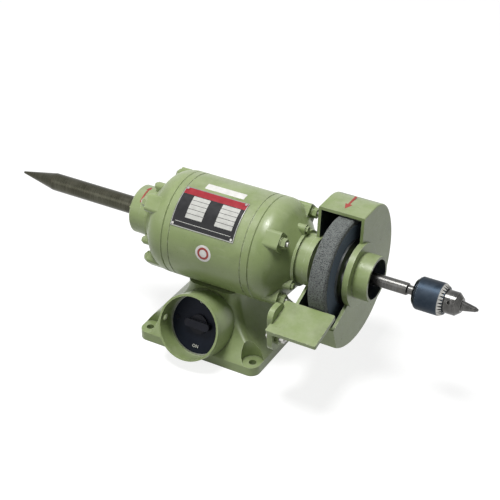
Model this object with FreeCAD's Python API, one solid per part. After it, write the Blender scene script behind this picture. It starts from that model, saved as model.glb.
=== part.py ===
import FreeCAD
import Part
import math
import os
from FreeCAD import Vector

# Bench grinder and polisher, millimetres.
# X runs along the shaft towards the drill chuck, Y away from the switch, Z up.
# The origin is the centre of the four base bolt holes, on the bench surface.

# Clearances
SEAT_GAP = 0.05
RUN_GAP = 0.06
MOVE_GAP = 0.3
HOLE_GAP = 0.4

# Motor line
MOTOR_X = 11.5
BARREL_R = 75.0
BARREL_LENGTH = 137.4
BARREL_WALL = 6.0
BARREL_CHAMFER = 1.2
BAND_INSET = 11.5
BAND_DEPTH = 0.7
BAND_WIDTH = 1.6

# End shields
SHIELD_WALL = 6.0
SHIELD_RIM = 5.3
SHIELD_SHOULDER_R = 30.0
SHIELD_LIP_R = 40.0
SHIELD_LIP_X = 47.3
SHIELD_LIP_WIDTH = 4.0
SHIELD_HUB_R = 36.0
SHIELD_HUB_END = 63.3
SHIELD_INNER_END = 39.3
SPIGOT_LENGTH = 4.0
SPIGOT_WALL = 5.0

# Tie rods that clamp the shields to the barrel
ROD_INSET = 11.0
ROD_ANGLES = (45.0, 135.0, 225.0, 315.0)
ROD_R = 3.5
ROD_STICK_OUT = 3.0
LUG_R = 9.5
LUG_WIDTH = 26.0
LUG_CORNER = 5.0
LUG_END = 36.3
NUT_FLATS = 13.0
NUT_THICK = 6.5
WASHER_R = 8.0
WASHER_THICK = 1.6

# Bearing covers and their screws
COVER_ANGLES = (90.0, 210.0, 330.0)
COVER_PITCH_R = 46.0
COVER_BOSS_R = 6.0
COVER_THICK = 5.0
COVER_OUTER_R = 40.0
COVER_EAR_R = 4.0
COVER_BOSS_ROOT = 9.0
COVER_SCREW_R = 2.0
COVER_HEAD_FLATS = 8.0
COVER_HEAD_THICK = 3.5
COVER_BOSS_END = 50.3

# Ball bearings: bore radius, outer radius, width, ball radius, ball count
LEFT_BORE_R = 15.0
LEFT_OUTER_R = 31.0
LEFT_WIDTH = 16.0
LEFT_BALL_R = 4.7
LEFT_BALLS = 9
RIGHT_BORE_R = 12.5
RIGHT_OUTER_R = 26.0
RIGHT_WIDTH = 15.0
RIGHT_BALL_R = 4.0
RIGHT_BALLS = 9
BEARING_SHOULDER = 3.0
RACE_SHARE = 0.3
GROOVE_GAP = 0.3

# Bearing cap on the spindle side
CAP_R = 35.5
CAP_LENGTH = 18.0
CAP_EDGE = 2.5
CAP_SPIGOT = 2.0
CAP_SCREW_PITCH_R = 33.2
CAP_SCREW_R = 1.6
CAP_SCREW_LENGTH = 26.0
CAP_SCREW_HEAD_R = 2.0
SHAFT_HOLE_GAP = 1.0

# Stator and rotor
STACK_LENGTH = 72.0
STATOR_BORE_R = 40.0
SLOT_COUNT = 24
SLOT_DEPTH = 14.0
SLOT_WIDTH = 5.0
SLOT_LIP = 1.6
WINDING_LENGTH = 20.0
WINDING_CLEARANCE = 3.5
AIR_GAP = 0.4
END_RING_LENGTH = 9.0
END_RING_OUTER_R = 37.0
END_RING_INNER_R = 26.0
FAN_BLADES = 8
FAN_BLADE_LENGTH = 7.0
FAN_BLADE_WIDTH = 3.0

# Shaft
ROTOR_SEAT_R = 16.5
ROTOR_SEAT_END = 104.0
SPINDLE_R = 13.2
SPINDLE_STRAIGHT_END = 304.0
SPINDLE_TIP_X = 363.0
SPINDLE_TIP_R = 1.6
WHEEL_SEAT_X = 146.0
WHEEL_SEAT_R = 10.0
ARBOR_X = 206.0
ARBOR_R = 8.6
ARBOR_END = 272.5
ARBOR_CHAMFER = 1.5
CHUCK_STUB_R = 6.2
CHUCK_STUB_LENGTH = 25.0

# Grinding wheel stack
WHEEL_R = 75.0
WHEEL_X = 160.0
WHEEL_WIDTH = 25.0
WHEEL_EDGE = 2.0
BLOTTER_R = 67.0
BLOTTER_THICK = 0.5
FLANGE_R = 46.0
FLANGE_THICK = 6.0
FLANGE_HUB_R = 20.0
FLANGE_RELIEF_R = 34.0
FLANGE_RELIEF = 1.0
WHEEL_NUT_FLATS = 30.0
WHEEL_NUT_THICK = 9.0

# Wheel guard
GUARD_X = 132.0
GUARD_WIDTH = 68.0
GUARD_WALL = 4.5
GUARD_R = 104.5
GUARD_TOP = 82.0
GUARD_TOP_FRONT = 9.0
GUARD_FLAT_END = 40.0
GUARD_LOW_ANGLE = 233.5
GUARD_LIP_Y = -74.0
GUARD_LIP_Z = -48.0
GUARD_CUT_ANGLE = 22.0
GUARD_EDGE = 2.0
GUARD_BOSS_R = 36.0
GUARD_BOSS_LENGTH = 8.0
GUARD_BOSS_BORE_R = 22.0
GUARD_DISC_R = 45.0
COLLAR_R = 32.0
COLLAR_BORE_R = 28.0
COLLAR_LENGTH = 26.0
GUARD_DISC_STEP = 4.0
GUARD_SCREW_PITCH_R = 31.0
GUARD_SCREW_R = 2.4
GUARD_SCREW_HEAD_R = 4.4
GUARD_SCREW_HEAD = 3.0
GUARD_SCREW_GRIP = 8.0
EAR_REACH = 110.0
EAR_TOP = -49.0
EAR_HEIGHT = 28.0

# Tool rest, slotted arm and its clamp bolt
REST_X = 128.5
REST_WIDTH = 73.5
REST_DEPTH = 59.0
REST_THICK = 6.0
REST_TILT = 13.0
REST_WHEEL_GAP = 3.0
REST_BACK_DROP = 22.2
ARM_THICK = 8.0
ARM_BACK_Y = -84.0
ARM_WIDTH = 34.0
ARM_TOP_DROP = 15.0
ARM_HEIGHT = 66.0
ARM_CORNER = 13.0
REST_SLOT_LENGTH = 22.0
REST_BOLT_R = 4.0
REST_BOLT_HEAD_FLATS = 13.0
REST_BOLT_HEAD_THICK = 5.3
REST_BOLT_STICK_OUT = 2.0

# Keyed drill chuck
CHUCK_X = 283.0
SLEEVE_LENGTH = 43.0
SLEEVE_R = 22.5
SLEEVE_BACK = 3.5
SLEEVE_BACK_RIM = 0.8
SLEEVE_BACK_CHAMFER = 6.0
SLEEVE_WALL = 2.3
SLEEVE_FRONT_R = 19.2
SLEEVE_BEVEL = 6.0
TOOTH_COUNT = 28
TOOTH_DEPTH = 5.5
TOOTH_SHARE = 0.72
TOOTH_FLOOR = 0.7
BODY_BACK_R = 17.6
BODY_BACK_CONE = 3.0
BODY_FLANGE = 5.0
BODY_R = 17.0
NOSE_R = 16.0
NOSE_END = 65.0
NOSE_CONE = 7.0
NOSE_FACE_R = 10.0
NUT_GROOVE_R = 11.8
CHUCK_NUT_BACK = 34.5
CHUCK_NUT_LENGTH = 8.0
CHUCK_NUT_R = 17.85
NUT_SPLIT = 0.4
JAW_R = 4.8
JAW_TILT = 13.0
JAW_TIP = 87.0
JAW_REACH = 53.0
JAW_BACK_AXIS_R = 9.65
JAW_FACE_GAP = 0.2
JAW_TIP_R = 1.5
JAW_TIP_CONE = 7.0
JAW_TIP_BASE_R = 5.0
JAW_ANGLES = (90.0, 210.0, 330.0)
KEY_HOLE_R = 2.6
KEY_HOLE_DEPTH = 6.0
KEY_HOLE_X = 50.6

# Base casting
FOOT_LENGTH = 196.0
FOOT_DEPTH = 166.8
FOOT_THICK = 14.0
FOOT_CORNER = 14.0
BOLT_SPACING_X = 171.8
BOLT_SPACING_Y = 136.6
BOLT_HOLE_R = 5.5
POCKET_R = 16.0
PEDESTAL_TOP_Z = 94.0
SADDLE_DEPTH = 4.0
PEDESTAL_TOP_X = 83.0
PEDESTAL_TOP_Y = 80.0
PEDESTAL_TOP_CORNER = 18.0
PEDESTAL_FOOT_CORNER = 5.0
FLARE_LOW_Z = 37.0
FLARE_LOW_X = 156.0
FLARE_LOW_Y = 134.0
FLARE_LOW_CORNER = 6.0
FLARE_MID_Z = 57.0
FLARE_MID_X = 112.0
FLARE_MID_Y = 101.0
FLARE_MID_CORNER = 12.0
FLARE_TOP_Z = 74.0
FLARE_TOP_X = 90.0
FLARE_TOP_Y = 85.0
FLARE_TOP_CORNER = 16.0
BASE_WALL = 7.0
BASE_ROOF = 9.0
PAD_X = 80.0
PAD_Y = 50.0
PAD_BOLT_X = 52.0
PAD_BOLT_Y = 36.0
PAD_BOLT_R = 4.0
PAD_BOLT_HEAD_FLATS = 13.0
PAD_BOLT_HEAD_THICK = 5.3

# Bottom cover and capacitor
COVER_PLATE_X = 136.0
COVER_PLATE_Y = 106.0
COVER_PLATE_THICK = 2.0
COVER_PLATE_RAISE = 1.0
COVER_LEDGE = 8.0
COVER_PLATE_SCREW_R = 2.0
COVER_PLATE_SCREW_LENGTH = 9.0
CAPACITOR_R = 19.0
CAPACITOR_LENGTH = 70.0
CAPACITOR_Y = 14.0
CAPACITOR_TERMINAL = 7.0
TERMINAL_THICK = 1.0
TERMINAL_WIDTH = 6.0
CAN_EDGE = 1.5
STRAP_THICK = 1.5
STRAP_WIDTH = 14.0
STRAP_FOOT = 9.0

# Switch cup
CUP_Y = -100.5
CUP_Z = 63.0
CUP_TILT = 22.0
CUP_R = 48.0
CUP_WALL = 3.0
CUP_DEPTH = 36.0
CUP_FLOOR = 5.0
CUP_BLEND = 12.0
INLET_R = 5.0
INLET_DEPTH = 13.0
SWITCH_PLATE_R = 43.2
SWITCH_PLATE_THICK = 3.0
BEZEL_LIP = 0.8
BEZEL_WIDTH = 1.4
SWITCH_BODY_SIDE = 40.0
SWITCH_BODY_LENGTH = 32.0
SWITCH_STEM_R = 4.0
KNOB_BASE_R = 14.0
KNOB_BASE_HEIGHT = 3.0
KNOB_BAR_LENGTH = 40.0
KNOB_BAR_WIDTH = 11.0
KNOB_BAR_HEIGHT = 8.5
SWITCH_SCREW_PITCH_R = 36.0
SWITCH_SCREW_R = 2.0
SWITCH_SCREW_HEAD_R = 3.2
SWITCH_SCREW_HEAD = 1.4

# Rating plate on the barrel
PLATE_X0 = -57.0
PLATE_X1 = 42.5
PLATE_ANGLE0 = 105.0
PLATE_ANGLE1 = 151.5
PLATE_THICK = 0.8
RIVET_R = 1.8
RIVET_HEAD = 0.9
RIVET_INSET = 3.6

SHAFT_Z = PEDESTAL_TOP_Z - SADDLE_DEPTH + BARREL_R
ROD_PITCH_R = BARREL_R - ROD_INSET
WINDING_OUTER_R = ROD_PITCH_R - ROD_R - WINDING_CLEARANCE
HALF = BARREL_LENGTH / 2
LEFT = -1
RIGHT = 1
X_AXIS = Vector(1, 0, 0)
Z_AXIS = Vector(0, 0, 1)
ORIGIN = Vector(0, 0, 0)


def rod_x(radius, x0, x1, y=0.0, z=0.0):
    """Cylinder along X from x0 to x1."""
    low = min(x0, x1)
    return Part.makeCylinder(radius, abs(x1 - x0), Vector(low, y, z), X_AXIS)


def ring_x(outer, inner, x0, x1):
    return rod_x(outer, x0, x1).cut(rod_x(inner, x0, x1))


def turned(points):
    """Solid of revolution about X from a closed (x, radius) outline."""
    corners = [Vector(x, r, 0) for x, r in points]
    face = Part.Face(Part.makePolygon(corners + corners[:1]))
    return face.revolve(ORIGIN, X_AXIS, 360)


def polar(radius, degrees):
    """Y and Z of a point at an angle counted from +Y towards +Z."""
    turn = math.radians(degrees)
    return radius * math.cos(turn), radius * math.sin(turn)


def hex_x(flats, x0, x1, y=0.0, z=0.0):
    """Hexagonal prism along X."""
    corner = flats / math.sqrt(3)
    points = []
    for step in range(7):
        dy, dz = polar(corner, 60 * step)
        points.append(Vector(min(x0, x1), y + dy, z + dz))
    return Part.Face(Part.makePolygon(points)).extrude(Vector(abs(x1 - x0), 0, 0))


def on_shaft(shape):
    """Move a shape from the motor's own centre to its place above the base."""
    shape.translate(Vector(MOTOR_X, 0, SHAFT_Z))
    return shape


def fused(shapes):
    solid = shapes[0]
    for shape in shapes[1:]:
        solid = solid.fuse(shape)
    return solid.removeSplitter()


def group(shapes):
    return Part.makeCompound(shapes)


def save(node, shape):
    shape.exportStep("parts/" + node + ".step")


def rounded_box_wire(size_x, size_y, corner, z):
    """Rectangle with rounded corners, level at height z."""
    hx = size_x / 2
    hy = size_y / 2
    bend = corner * (1 - math.sqrt(0.5))
    edges = []
    corners = ((1, 1), (-1, 1), (-1, -1), (1, -1))
    for index, (sx, sy) in enumerate(corners):
        first = Vector(sx * hx, sy * (hy - corner), z)
        last = Vector(sx * (hx - corner), sy * hy, z)
        if index % 2:
            first, last = last, first
        middle = Vector(sx * (hx - bend), sy * (hy - bend), z)
        edges.append((first, middle, last))
    outline = []
    for index, (first, middle, last) in enumerate(edges):
        outline.append(Part.Arc(first, middle, last).toShape())
        following = edges[(index + 1) % 4][0]
        outline.append(Part.LineSegment(last, following).toShape())
    return Part.Wire(outline)


def motor_barrel():
    tube = rod_x(BARREL_R, -HALF, HALF)
    rims = [edge for edge in tube.Edges if len(edge.Vertexes) == 1]
    tube = tube.makeChamfer(BARREL_CHAMFER, rims)
    for side in (LEFT, RIGHT):
        centre = side * (HALF - BAND_INSET)
        band = ring_x(BARREL_R + 1, BARREL_R - BAND_DEPTH,
                      centre - BAND_WIDTH / 2, centre + BAND_WIDTH / 2)
        tube = tube.cut(band)
    pad_low = PEDESTAL_TOP_Z - SHAFT_Z
    pad = Part.makeBox(PAD_X, PAD_Y, -pad_low, Vector(-PAD_X / 2 - MOTOR_X, -PAD_Y / 2, pad_low))
    tube = fused([tube, pad])
    cuts = [rod_x(BARREL_R - BARREL_WALL, -HALF, HALF)]
    for x, y in corners_of(PAD_BOLT_X, PAD_BOLT_Y):
        place = Vector(x - MOTOR_X, y, -BARREL_R)
        cuts.append(Part.makeCylinder(PAD_BOLT_R + SEAT_GAP, 3 * BARREL_WALL, place))
    return on_shaft(tube.cut(cuts))


def dome_turn():
    """Angle at which the shield's shoulder arc runs straight to the hub lip."""
    run = SHIELD_LIP_X - SHIELD_RIM
    drop = BARREL_R - SHIELD_SHOULDER_R - SHIELD_LIP_R
    return math.asin(SHIELD_SHOULDER_R / math.hypot(run, drop)) + math.atan2(drop, run)


def dome_edges(inset, end_x, end_r):
    """Shoulder arc and straight flank of the shield, set in from its outside."""
    turn = dome_turn()
    arc_r = SHIELD_SHOULDER_R - inset
    centre_r = BARREL_R - SHIELD_SHOULDER_R
    points = []
    for share in (0.0, 0.5, 1.0):
        angle = turn * share
        points.append(Vector(SHIELD_RIM + arc_r * math.sin(angle),
                             centre_r + arc_r * math.cos(angle), 0))
    arc = Part.Arc(*points).toShape()
    flank = Part.LineSegment(points[2], Vector(end_x, end_r, 0)).toShape()
    return points[0], [arc, flank]


def turned_edges(edges, corners):
    """Revolve a profile whose first edges are given and whose rest is straight."""
    lines = [Part.LineSegment(a, b).toShape() for a, b in zip(corners, corners[1:])]
    face = Part.Face(Part.Wire(edges + lines))
    return face.revolve(ORIGIN, X_AXIS, 360)


def shield_shell():
    """Domed shell, hub and lip; x counts from the parting face."""
    start, edges = dome_edges(0.0, SHIELD_LIP_X, SHIELD_LIP_R)
    lip_end = SHIELD_LIP_X + SHIELD_LIP_WIDTH
    corners = [
        Vector(SHIELD_LIP_X, SHIELD_LIP_R, 0),
        Vector(lip_end, SHIELD_LIP_R, 0),
        Vector(lip_end, SHIELD_HUB_R, 0),
        Vector(SHIELD_HUB_END, SHIELD_HUB_R, 0),
        Vector(SHIELD_HUB_END, 0, 0),
        Vector(0, 0, 0),
        Vector(0, BARREL_R - BARREL_CHAMFER, 0),
        Vector(BARREL_CHAMFER, BARREL_R, 0),
        start,
    ]
    return turned_edges(edges, corners)


def shield_hollow():
    turn = dome_turn()
    arc_r = SHIELD_SHOULDER_R - SHIELD_WALL
    bend_x = SHIELD_RIM + arc_r * math.sin(turn)
    bend_r = BARREL_R - SHIELD_SHOULDER_R + arc_r * math.cos(turn)
    end_r = bend_r - (SHIELD_INNER_END - bend_x) * math.tan(turn)
    start, edges = dome_edges(SHIELD_WALL, SHIELD_INNER_END, end_r)
    corners = [
        Vector(SHIELD_INNER_END, end_r, 0),
        Vector(SHIELD_INNER_END, 0, 0),
        Vector(0, 0, 0),
        Vector(0, BARREL_R - SHIELD_WALL, 0),
        start,
    ]
    return turned_edges(edges, corners)


def radial_web(width, inner_r, outer_r, x0, x1, degrees):
    """Flat rib standing along a radius."""
    web = Part.makeBox(x1 - x0, outer_r - inner_r, width, Vector(x0, inner_r, -width / 2))
    web.rotate(ORIGIN, X_AXIS, degrees)
    return web


def rod_lug(degrees):
    """Raised block on the shield's flank that a tie rod passes through."""
    top = ROD_PITCH_R + LUG_R
    block = radial_web(LUG_WIDTH, SHIELD_HUB_R, top, SHIELD_RIM, LUG_END, 0)
    ridges = [edge for edge in block.Edges if edge.BoundBox.YMin > top - LUG_CORNER
              and edge.BoundBox.XLength > LUG_CORNER]
    block = block.makeFillet(LUG_CORNER, ridges)
    block.rotate(ORIGIN, X_AXIS, degrees)
    return block


def end_shield(bearing_outer_r):
    """Cast end shield with rod lugs, cover bosses and bearing seat."""
    pieces = [shield_shell()]
    for angle in ROD_ANGLES:
        pieces.append(rod_lug(angle))
    for angle in COVER_ANGLES:
        root = SHIELD_INNER_END - COVER_BOSS_ROOT
        pieces.append(radial_web(2 * COVER_BOSS_R, SHIELD_HUB_R - 1, COVER_PITCH_R,
                                 root, COVER_BOSS_END, angle))
        pieces.append(rod_x(COVER_BOSS_R, root, COVER_BOSS_END, *polar(COVER_PITCH_R, angle)))
    casting = fused(pieces).cut(shield_hollow())
    columns = [casting]
    for angle in ROD_ANGLES:
        columns.append(rod_x(LUG_R, 0, LUG_END, *polar(ROD_PITCH_R, angle)))
    spigot_r = BARREL_R - BARREL_WALL - SEAT_GAP
    columns.append(ring_x(spigot_r, spigot_r - SPIGOT_WALL, -SPIGOT_LENGTH, 0))
    casting = fused(columns)
    cuts = [rod_x(bearing_outer_r + SEAT_GAP, 0, SHIELD_HUB_END - BEARING_SHOULDER)]
    cuts.append(rod_x(bearing_outer_r - BEARING_SHOULDER, 0, SHIELD_HUB_END))
    for angle in ROD_ANGLES:
        cuts.append(rod_x(ROD_R + HOLE_GAP, -SPIGOT_LENGTH, LUG_END, *polar(ROD_PITCH_R, angle)))
    for angle in COVER_ANGLES:
        place = polar(COVER_PITCH_R, angle)
        cuts.append(rod_x(COVER_SCREW_R + SEAT_GAP, 0, COVER_BOSS_END, *place))
        cuts.append(rod_x(COVER_EAR_R + SEAT_GAP, 0, SHIELD_INNER_END, *place))
        cuts.append(radial_web(2 * (COVER_EAR_R + SEAT_GAP), SHIELD_HUB_R, COVER_PITCH_R,
                               0, SHIELD_INNER_END, angle))
    return casting.cut(cuts)


def to_side(shape, side):
    """Move a shape drawn from the parting face to the left or right end."""
    if side == LEFT:
        shape = shape.mirror(ORIGIN, X_AXIS)
    shape.translate(Vector(side * HALF, 0, 0))
    return on_shaft(shape)


def right_end_shield():
    casting = end_shield(RIGHT_OUTER_R)
    for angle in COVER_ANGLES:
        place = polar(GUARD_SCREW_PITCH_R, angle)
        depth = SHIELD_HUB_END - GUARD_SCREW_GRIP
        casting = casting.cut(rod_x(GUARD_SCREW_R + SEAT_GAP, depth, SHIELD_HUB_END, *place))
    return to_side(casting, RIGHT)


def left_end_shield():
    casting = end_shield(LEFT_OUTER_R)
    for angle in COVER_ANGLES:
        place = polar(CAP_SCREW_PITCH_R, angle + 60)
        depth = SHIELD_HUB_END + CAP_LENGTH - CAP_SCREW_LENGTH
        casting = casting.cut(rod_x(CAP_SCREW_R + SEAT_GAP, depth, SHIELD_HUB_END, *place))
    return to_side(casting, LEFT)


def bearing_cover(bearing_outer_r, bearing_width, shaft_r, side):
    """Inner cover that holds the outer race from inside the shield."""
    race_back = SHIELD_HUB_END - BEARING_SHOULDER - bearing_width
    face = SHIELD_INNER_END
    plate = ring_x(COVER_OUTER_R, shaft_r + SHAFT_HOLE_GAP, face - COVER_THICK, face)
    nose = ring_x(bearing_outer_r - SEAT_GAP, bearing_outer_r - BEARING_SHOULDER, face, race_back)
    ears = []
    for angle in COVER_ANGLES:
        ears.append(rod_x(COVER_EAR_R, face - COVER_THICK, face, *polar(COVER_PITCH_R, angle)))
        ears.append(radial_web(2 * COVER_EAR_R, SHIELD_HUB_R, COVER_PITCH_R,
                               face - COVER_THICK, face, angle))
    cover = fused([plate, nose] + ears)
    for angle in COVER_ANGLES:
        place = polar(COVER_PITCH_R, angle)
        cover = cover.cut(rod_x(COVER_SCREW_R + SEAT_GAP, face - COVER_THICK, face, *place))
    return to_side(cover, side)


def cover_screws():
    screws = []
    for side in (LEFT, RIGHT):
        for angle in COVER_ANGLES:
            place = polar(COVER_PITCH_R, angle)
            head_end = COVER_BOSS_END + COVER_HEAD_THICK
            shank = rod_x(COVER_SCREW_R, SHIELD_INNER_END - COVER_THICK, COVER_BOSS_END, *place)
            head = hex_x(COVER_HEAD_FLATS, COVER_BOSS_END, head_end, *place)
            screws.append(to_side(fused([shank, head]), side))
    return group(screws)


def race_pitch(bore_r, outer_r):
    return (bore_r + outer_r) / 2


def groove(bore_r, outer_r, ball_r, x):
    """Round groove that both races are cut with."""
    pitch = race_pitch(bore_r, outer_r)
    return Part.makeTorus(pitch, ball_r + GROOVE_GAP, Vector(x, 0, 0), X_AXIS)


def bearing_middle(width):
    return SHIELD_HUB_END - BEARING_SHOULDER - width / 2


def outer_race(bore_r, outer_r, width, ball_r, side):
    x = bearing_middle(width)
    wall = (outer_r - bore_r) * RACE_SHARE
    race = ring_x(outer_r, outer_r - wall, x - width / 2, x + width / 2)
    return to_side(race.cut(groove(bore_r, outer_r, ball_r, x)), side)


def inner_race(bore_r, outer_r, width, ball_r, side):
    x = bearing_middle(width)
    wall = (outer_r - bore_r) * RACE_SHARE
    race = ring_x(bore_r + wall, bore_r + SEAT_GAP, x - width / 2, x + width / 2)
    return to_side(race.cut(groove(bore_r, outer_r, ball_r, x)), side)


def bearing_balls(bore_r, outer_r, width, ball_r, count, side):
    balls = []
    for step in range(count):
        place = polar(race_pitch(bore_r, outer_r), 360 * step / count)
        centre = Vector(bearing_middle(width), *place)
        balls.append(to_side(Part.makeSphere(ball_r, centre), side))
    return group(balls)


def bearing_cap():
    """Turned cap that closes the hub round the polishing spindle."""
    hole_r = LEFT_BORE_R + SHAFT_HOLE_GAP
    end = SHIELD_HUB_END + CAP_LENGTH
    spigot_r = LEFT_OUTER_R - BEARING_SHOULDER - SEAT_GAP
    cap = turned([
        (SHIELD_HUB_END - CAP_SPIGOT, hole_r),
        (SHIELD_HUB_END - CAP_SPIGOT, spigot_r),
        (SHIELD_HUB_END, spigot_r),
        (SHIELD_HUB_END, CAP_R),
        (end - CAP_EDGE, CAP_R),
        (end, CAP_R - CAP_EDGE),
        (end, hole_r),
    ])
    for angle in COVER_ANGLES:
        place = polar(CAP_SCREW_PITCH_R, angle + 60)
        cap = cap.cut(rod_x(CAP_SCREW_R + SEAT_GAP, SHIELD_HUB_END, end, *place))
    return to_side(cap, LEFT)


def cap_screws():
    screws = []
    end = SHIELD_HUB_END + CAP_LENGTH
    for angle in COVER_ANGLES:
        place = polar(CAP_SCREW_PITCH_R, angle + 60)
        screws.append(to_side(rod_x(CAP_SCREW_R, end - CAP_SCREW_LENGTH, end, *place), LEFT))
    return group(screws)


def tie_rods():
    reach = HALF + LUG_END + WASHER_THICK + NUT_THICK + ROD_STICK_OUT
    rods = [rod_x(ROD_R, -reach, reach, *polar(ROD_PITCH_R, angle)) for angle in ROD_ANGLES]
    return group([on_shaft(rod) for rod in rods])


def tie_rod_washers():
    washers = []
    for side in (LEFT, RIGHT):
        for angle in ROD_ANGLES:
            place = polar(ROD_PITCH_R, angle)
            disc = rod_x(WASHER_R, LUG_END, LUG_END + WASHER_THICK, *place)
            hole = rod_x(ROD_R + SEAT_GAP, LUG_END, LUG_END + WASHER_THICK, *place)
            washers.append(to_side(disc.cut(hole), side))
    return group(washers)


def tie_rod_nuts():
    nuts = []
    face = LUG_END + WASHER_THICK
    for side in (LEFT, RIGHT):
        for angle in ROD_ANGLES:
            place = polar(ROD_PITCH_R, angle)
            nut = hex_x(NUT_FLATS, face, face + NUT_THICK, *place)
            hole = rod_x(ROD_R + SEAT_GAP, face, face + NUT_THICK, *place)
            nuts.append(to_side(nut.cut(hole), side))
    return group(nuts)


def stator_core():
    half = STACK_LENGTH / 2
    outer = BARREL_R - BARREL_WALL - SEAT_GAP
    stack = ring_x(outer, STATOR_BORE_R, -half, half)
    cuts = []
    for step in range(SLOT_COUNT):
        angle = 360 * step / SLOT_COUNT
        low = STATOR_BORE_R + SLOT_LIP
        cuts.append(radial_web(SLOT_WIDTH, low, low + SLOT_DEPTH, -half, half, angle))
        cuts.append(radial_web(SLOT_LIP, STATOR_BORE_R - 1, low + 1, -half, half, angle))
    for angle in ROD_ANGLES:
        notch = 2 * (ROD_R + HOLE_GAP)
        cuts.append(radial_web(notch, ROD_PITCH_R, BARREL_R, -half, half, angle))
        cuts.append(rod_x(ROD_R + HOLE_GAP, -half, half, *polar(ROD_PITCH_R, angle)))
    return on_shaft(stack.cut(cuts))


def stator_winding():
    """Copper end turns on both faces of the stack."""
    half = STACK_LENGTH / 2
    inner = STATOR_BORE_R + SLOT_LIP + SEAT_GAP
    turns = []
    for side in (LEFT, RIGHT):
        ring = ring_x(WINDING_OUTER_R, inner, half, half + WINDING_LENGTH)
        far = [edge for edge in ring.Edges if abs(edge.CenterOfMass.x - half - WINDING_LENGTH) < 0.01]
        ring = ring.makeFillet((WINDING_OUTER_R - inner) / 3, far)
        if side == LEFT:
            ring = ring.mirror(ORIGIN, X_AXIS)
        turns.append(on_shaft(ring))
    return group(turns)


def rotor_core():
    half = STACK_LENGTH / 2
    return on_shaft(ring_x(STATOR_BORE_R - AIR_GAP, ROTOR_SEAT_R + SEAT_GAP, -half, half))


def rotor_end_rings():
    """Cast end rings of the rotor cage, with cooling blades."""
    half = STACK_LENGTH / 2
    rings = []
    for side in (LEFT, RIGHT):
        pieces = [ring_x(END_RING_OUTER_R, END_RING_INNER_R, half, half + END_RING_LENGTH)]
        for step in range(FAN_BLADES):
            pieces.append(radial_web(FAN_BLADE_WIDTH, END_RING_INNER_R + 1, END_RING_OUTER_R - 1, half,
                                     half + END_RING_LENGTH + FAN_BLADE_LENGTH, 360 * step / FAN_BLADES))
        ring = fused(pieces)
        if side == LEFT:
            ring = ring.mirror(ORIGIN, X_AXIS)
        rings.append(on_shaft(ring))
    return group(rings)


def main_shaft():
    """One turned shaft: tapered spindle, bearing seats, wheel seat and chuck stub."""
    cap_face = HALF + SHIELD_HUB_END + CAP_LENGTH
    stub_end = ARBOR_END + CHUCK_STUB_LENGTH
    return on_shaft(turned([
        (-SPINDLE_TIP_X, 0),
        (-SPINDLE_TIP_X, SPINDLE_TIP_R),
        (-SPINDLE_STRAIGHT_END, SPINDLE_R),
        (-cap_face, SPINDLE_R),
        (-cap_face, LEFT_BORE_R),
        (-ROTOR_SEAT_END, LEFT_BORE_R),
        (-ROTOR_SEAT_END, ROTOR_SEAT_R),
        (ROTOR_SEAT_END, ROTOR_SEAT_R),
        (ROTOR_SEAT_END, RIGHT_BORE_R),
        (WHEEL_SEAT_X, RIGHT_BORE_R),
        (WHEEL_SEAT_X, WHEEL_SEAT_R),
        (ARBOR_X, WHEEL_SEAT_R),
        (ARBOR_X, ARBOR_R),
        (ARBOR_END - ARBOR_CHAMFER, ARBOR_R),
        (ARBOR_END, ARBOR_R - ARBOR_CHAMFER),
        (ARBOR_END, CHUCK_STUB_R),
        (stub_end, CHUCK_STUB_R),
        (stub_end, 0),
    ]))


def inner_flange():
    bore = WHEEL_SEAT_R + SEAT_GAP
    face = WHEEL_X - BLOTTER_THICK
    return on_shaft(turned([
        (WHEEL_SEAT_X, bore),
        (WHEEL_SEAT_X, FLANGE_HUB_R),
        (face - FLANGE_THICK, FLANGE_HUB_R),
        (face - FLANGE_THICK, FLANGE_R),
        (face, FLANGE_R),
        (face, FLANGE_RELIEF_R),
        (face - FLANGE_RELIEF, FLANGE_RELIEF_R),
        (face - FLANGE_RELIEF, bore),
    ]))


def outer_flange():
    bore = WHEEL_SEAT_R + SEAT_GAP
    face = WHEEL_X + WHEEL_WIDTH + BLOTTER_THICK
    back = face + FLANGE_THICK
    return on_shaft(turned([
        (face + FLANGE_RELIEF, bore),
        (face + FLANGE_RELIEF, FLANGE_RELIEF_R),
        (face, FLANGE_RELIEF_R),
        (face, FLANGE_R),
        (face + FLANGE_THICK / 2, FLANGE_R),
        (back, FLANGE_HUB_R),
        (back, bore),
    ]))


def wheel_blotters():
    bore = WHEEL_SEAT_R + SEAT_GAP
    far = WHEEL_X + WHEEL_WIDTH
    near_disc = ring_x(BLOTTER_R, bore, WHEEL_X - BLOTTER_THICK, WHEEL_X)
    far_disc = ring_x(BLOTTER_R, bore, far, far + BLOTTER_THICK)
    return group([on_shaft(near_disc), on_shaft(far_disc)])


def grinding_wheel():
    bore = WHEEL_SEAT_R + SEAT_GAP
    far = WHEEL_X + WHEEL_WIDTH
    return on_shaft(turned([
        (WHEEL_X, bore),
        (WHEEL_X, WHEEL_R - WHEEL_EDGE),
        (WHEEL_X + WHEEL_EDGE, WHEEL_R),
        (far - WHEEL_EDGE, WHEEL_R),
        (far, WHEEL_R - WHEEL_EDGE),
        (far, bore),
    ]))


def wheel_nut():
    face = WHEEL_X + WHEEL_WIDTH + BLOTTER_THICK + FLANGE_THICK
    nut = hex_x(WHEEL_NUT_FLATS, face, face + WHEEL_NUT_THICK)
    return on_shaft(nut.cut(rod_x(WHEEL_SEAT_R + SEAT_GAP, face, face + WHEEL_NUT_THICK)))


def guard_shoulder_r():
    """Radius of the shoulder that joins the flat top to the round back."""
    gap = GUARD_R - GUARD_TOP
    return (GUARD_R ** 2 - GUARD_FLAT_END ** 2 - GUARD_TOP ** 2) / (2 * gap)


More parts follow.
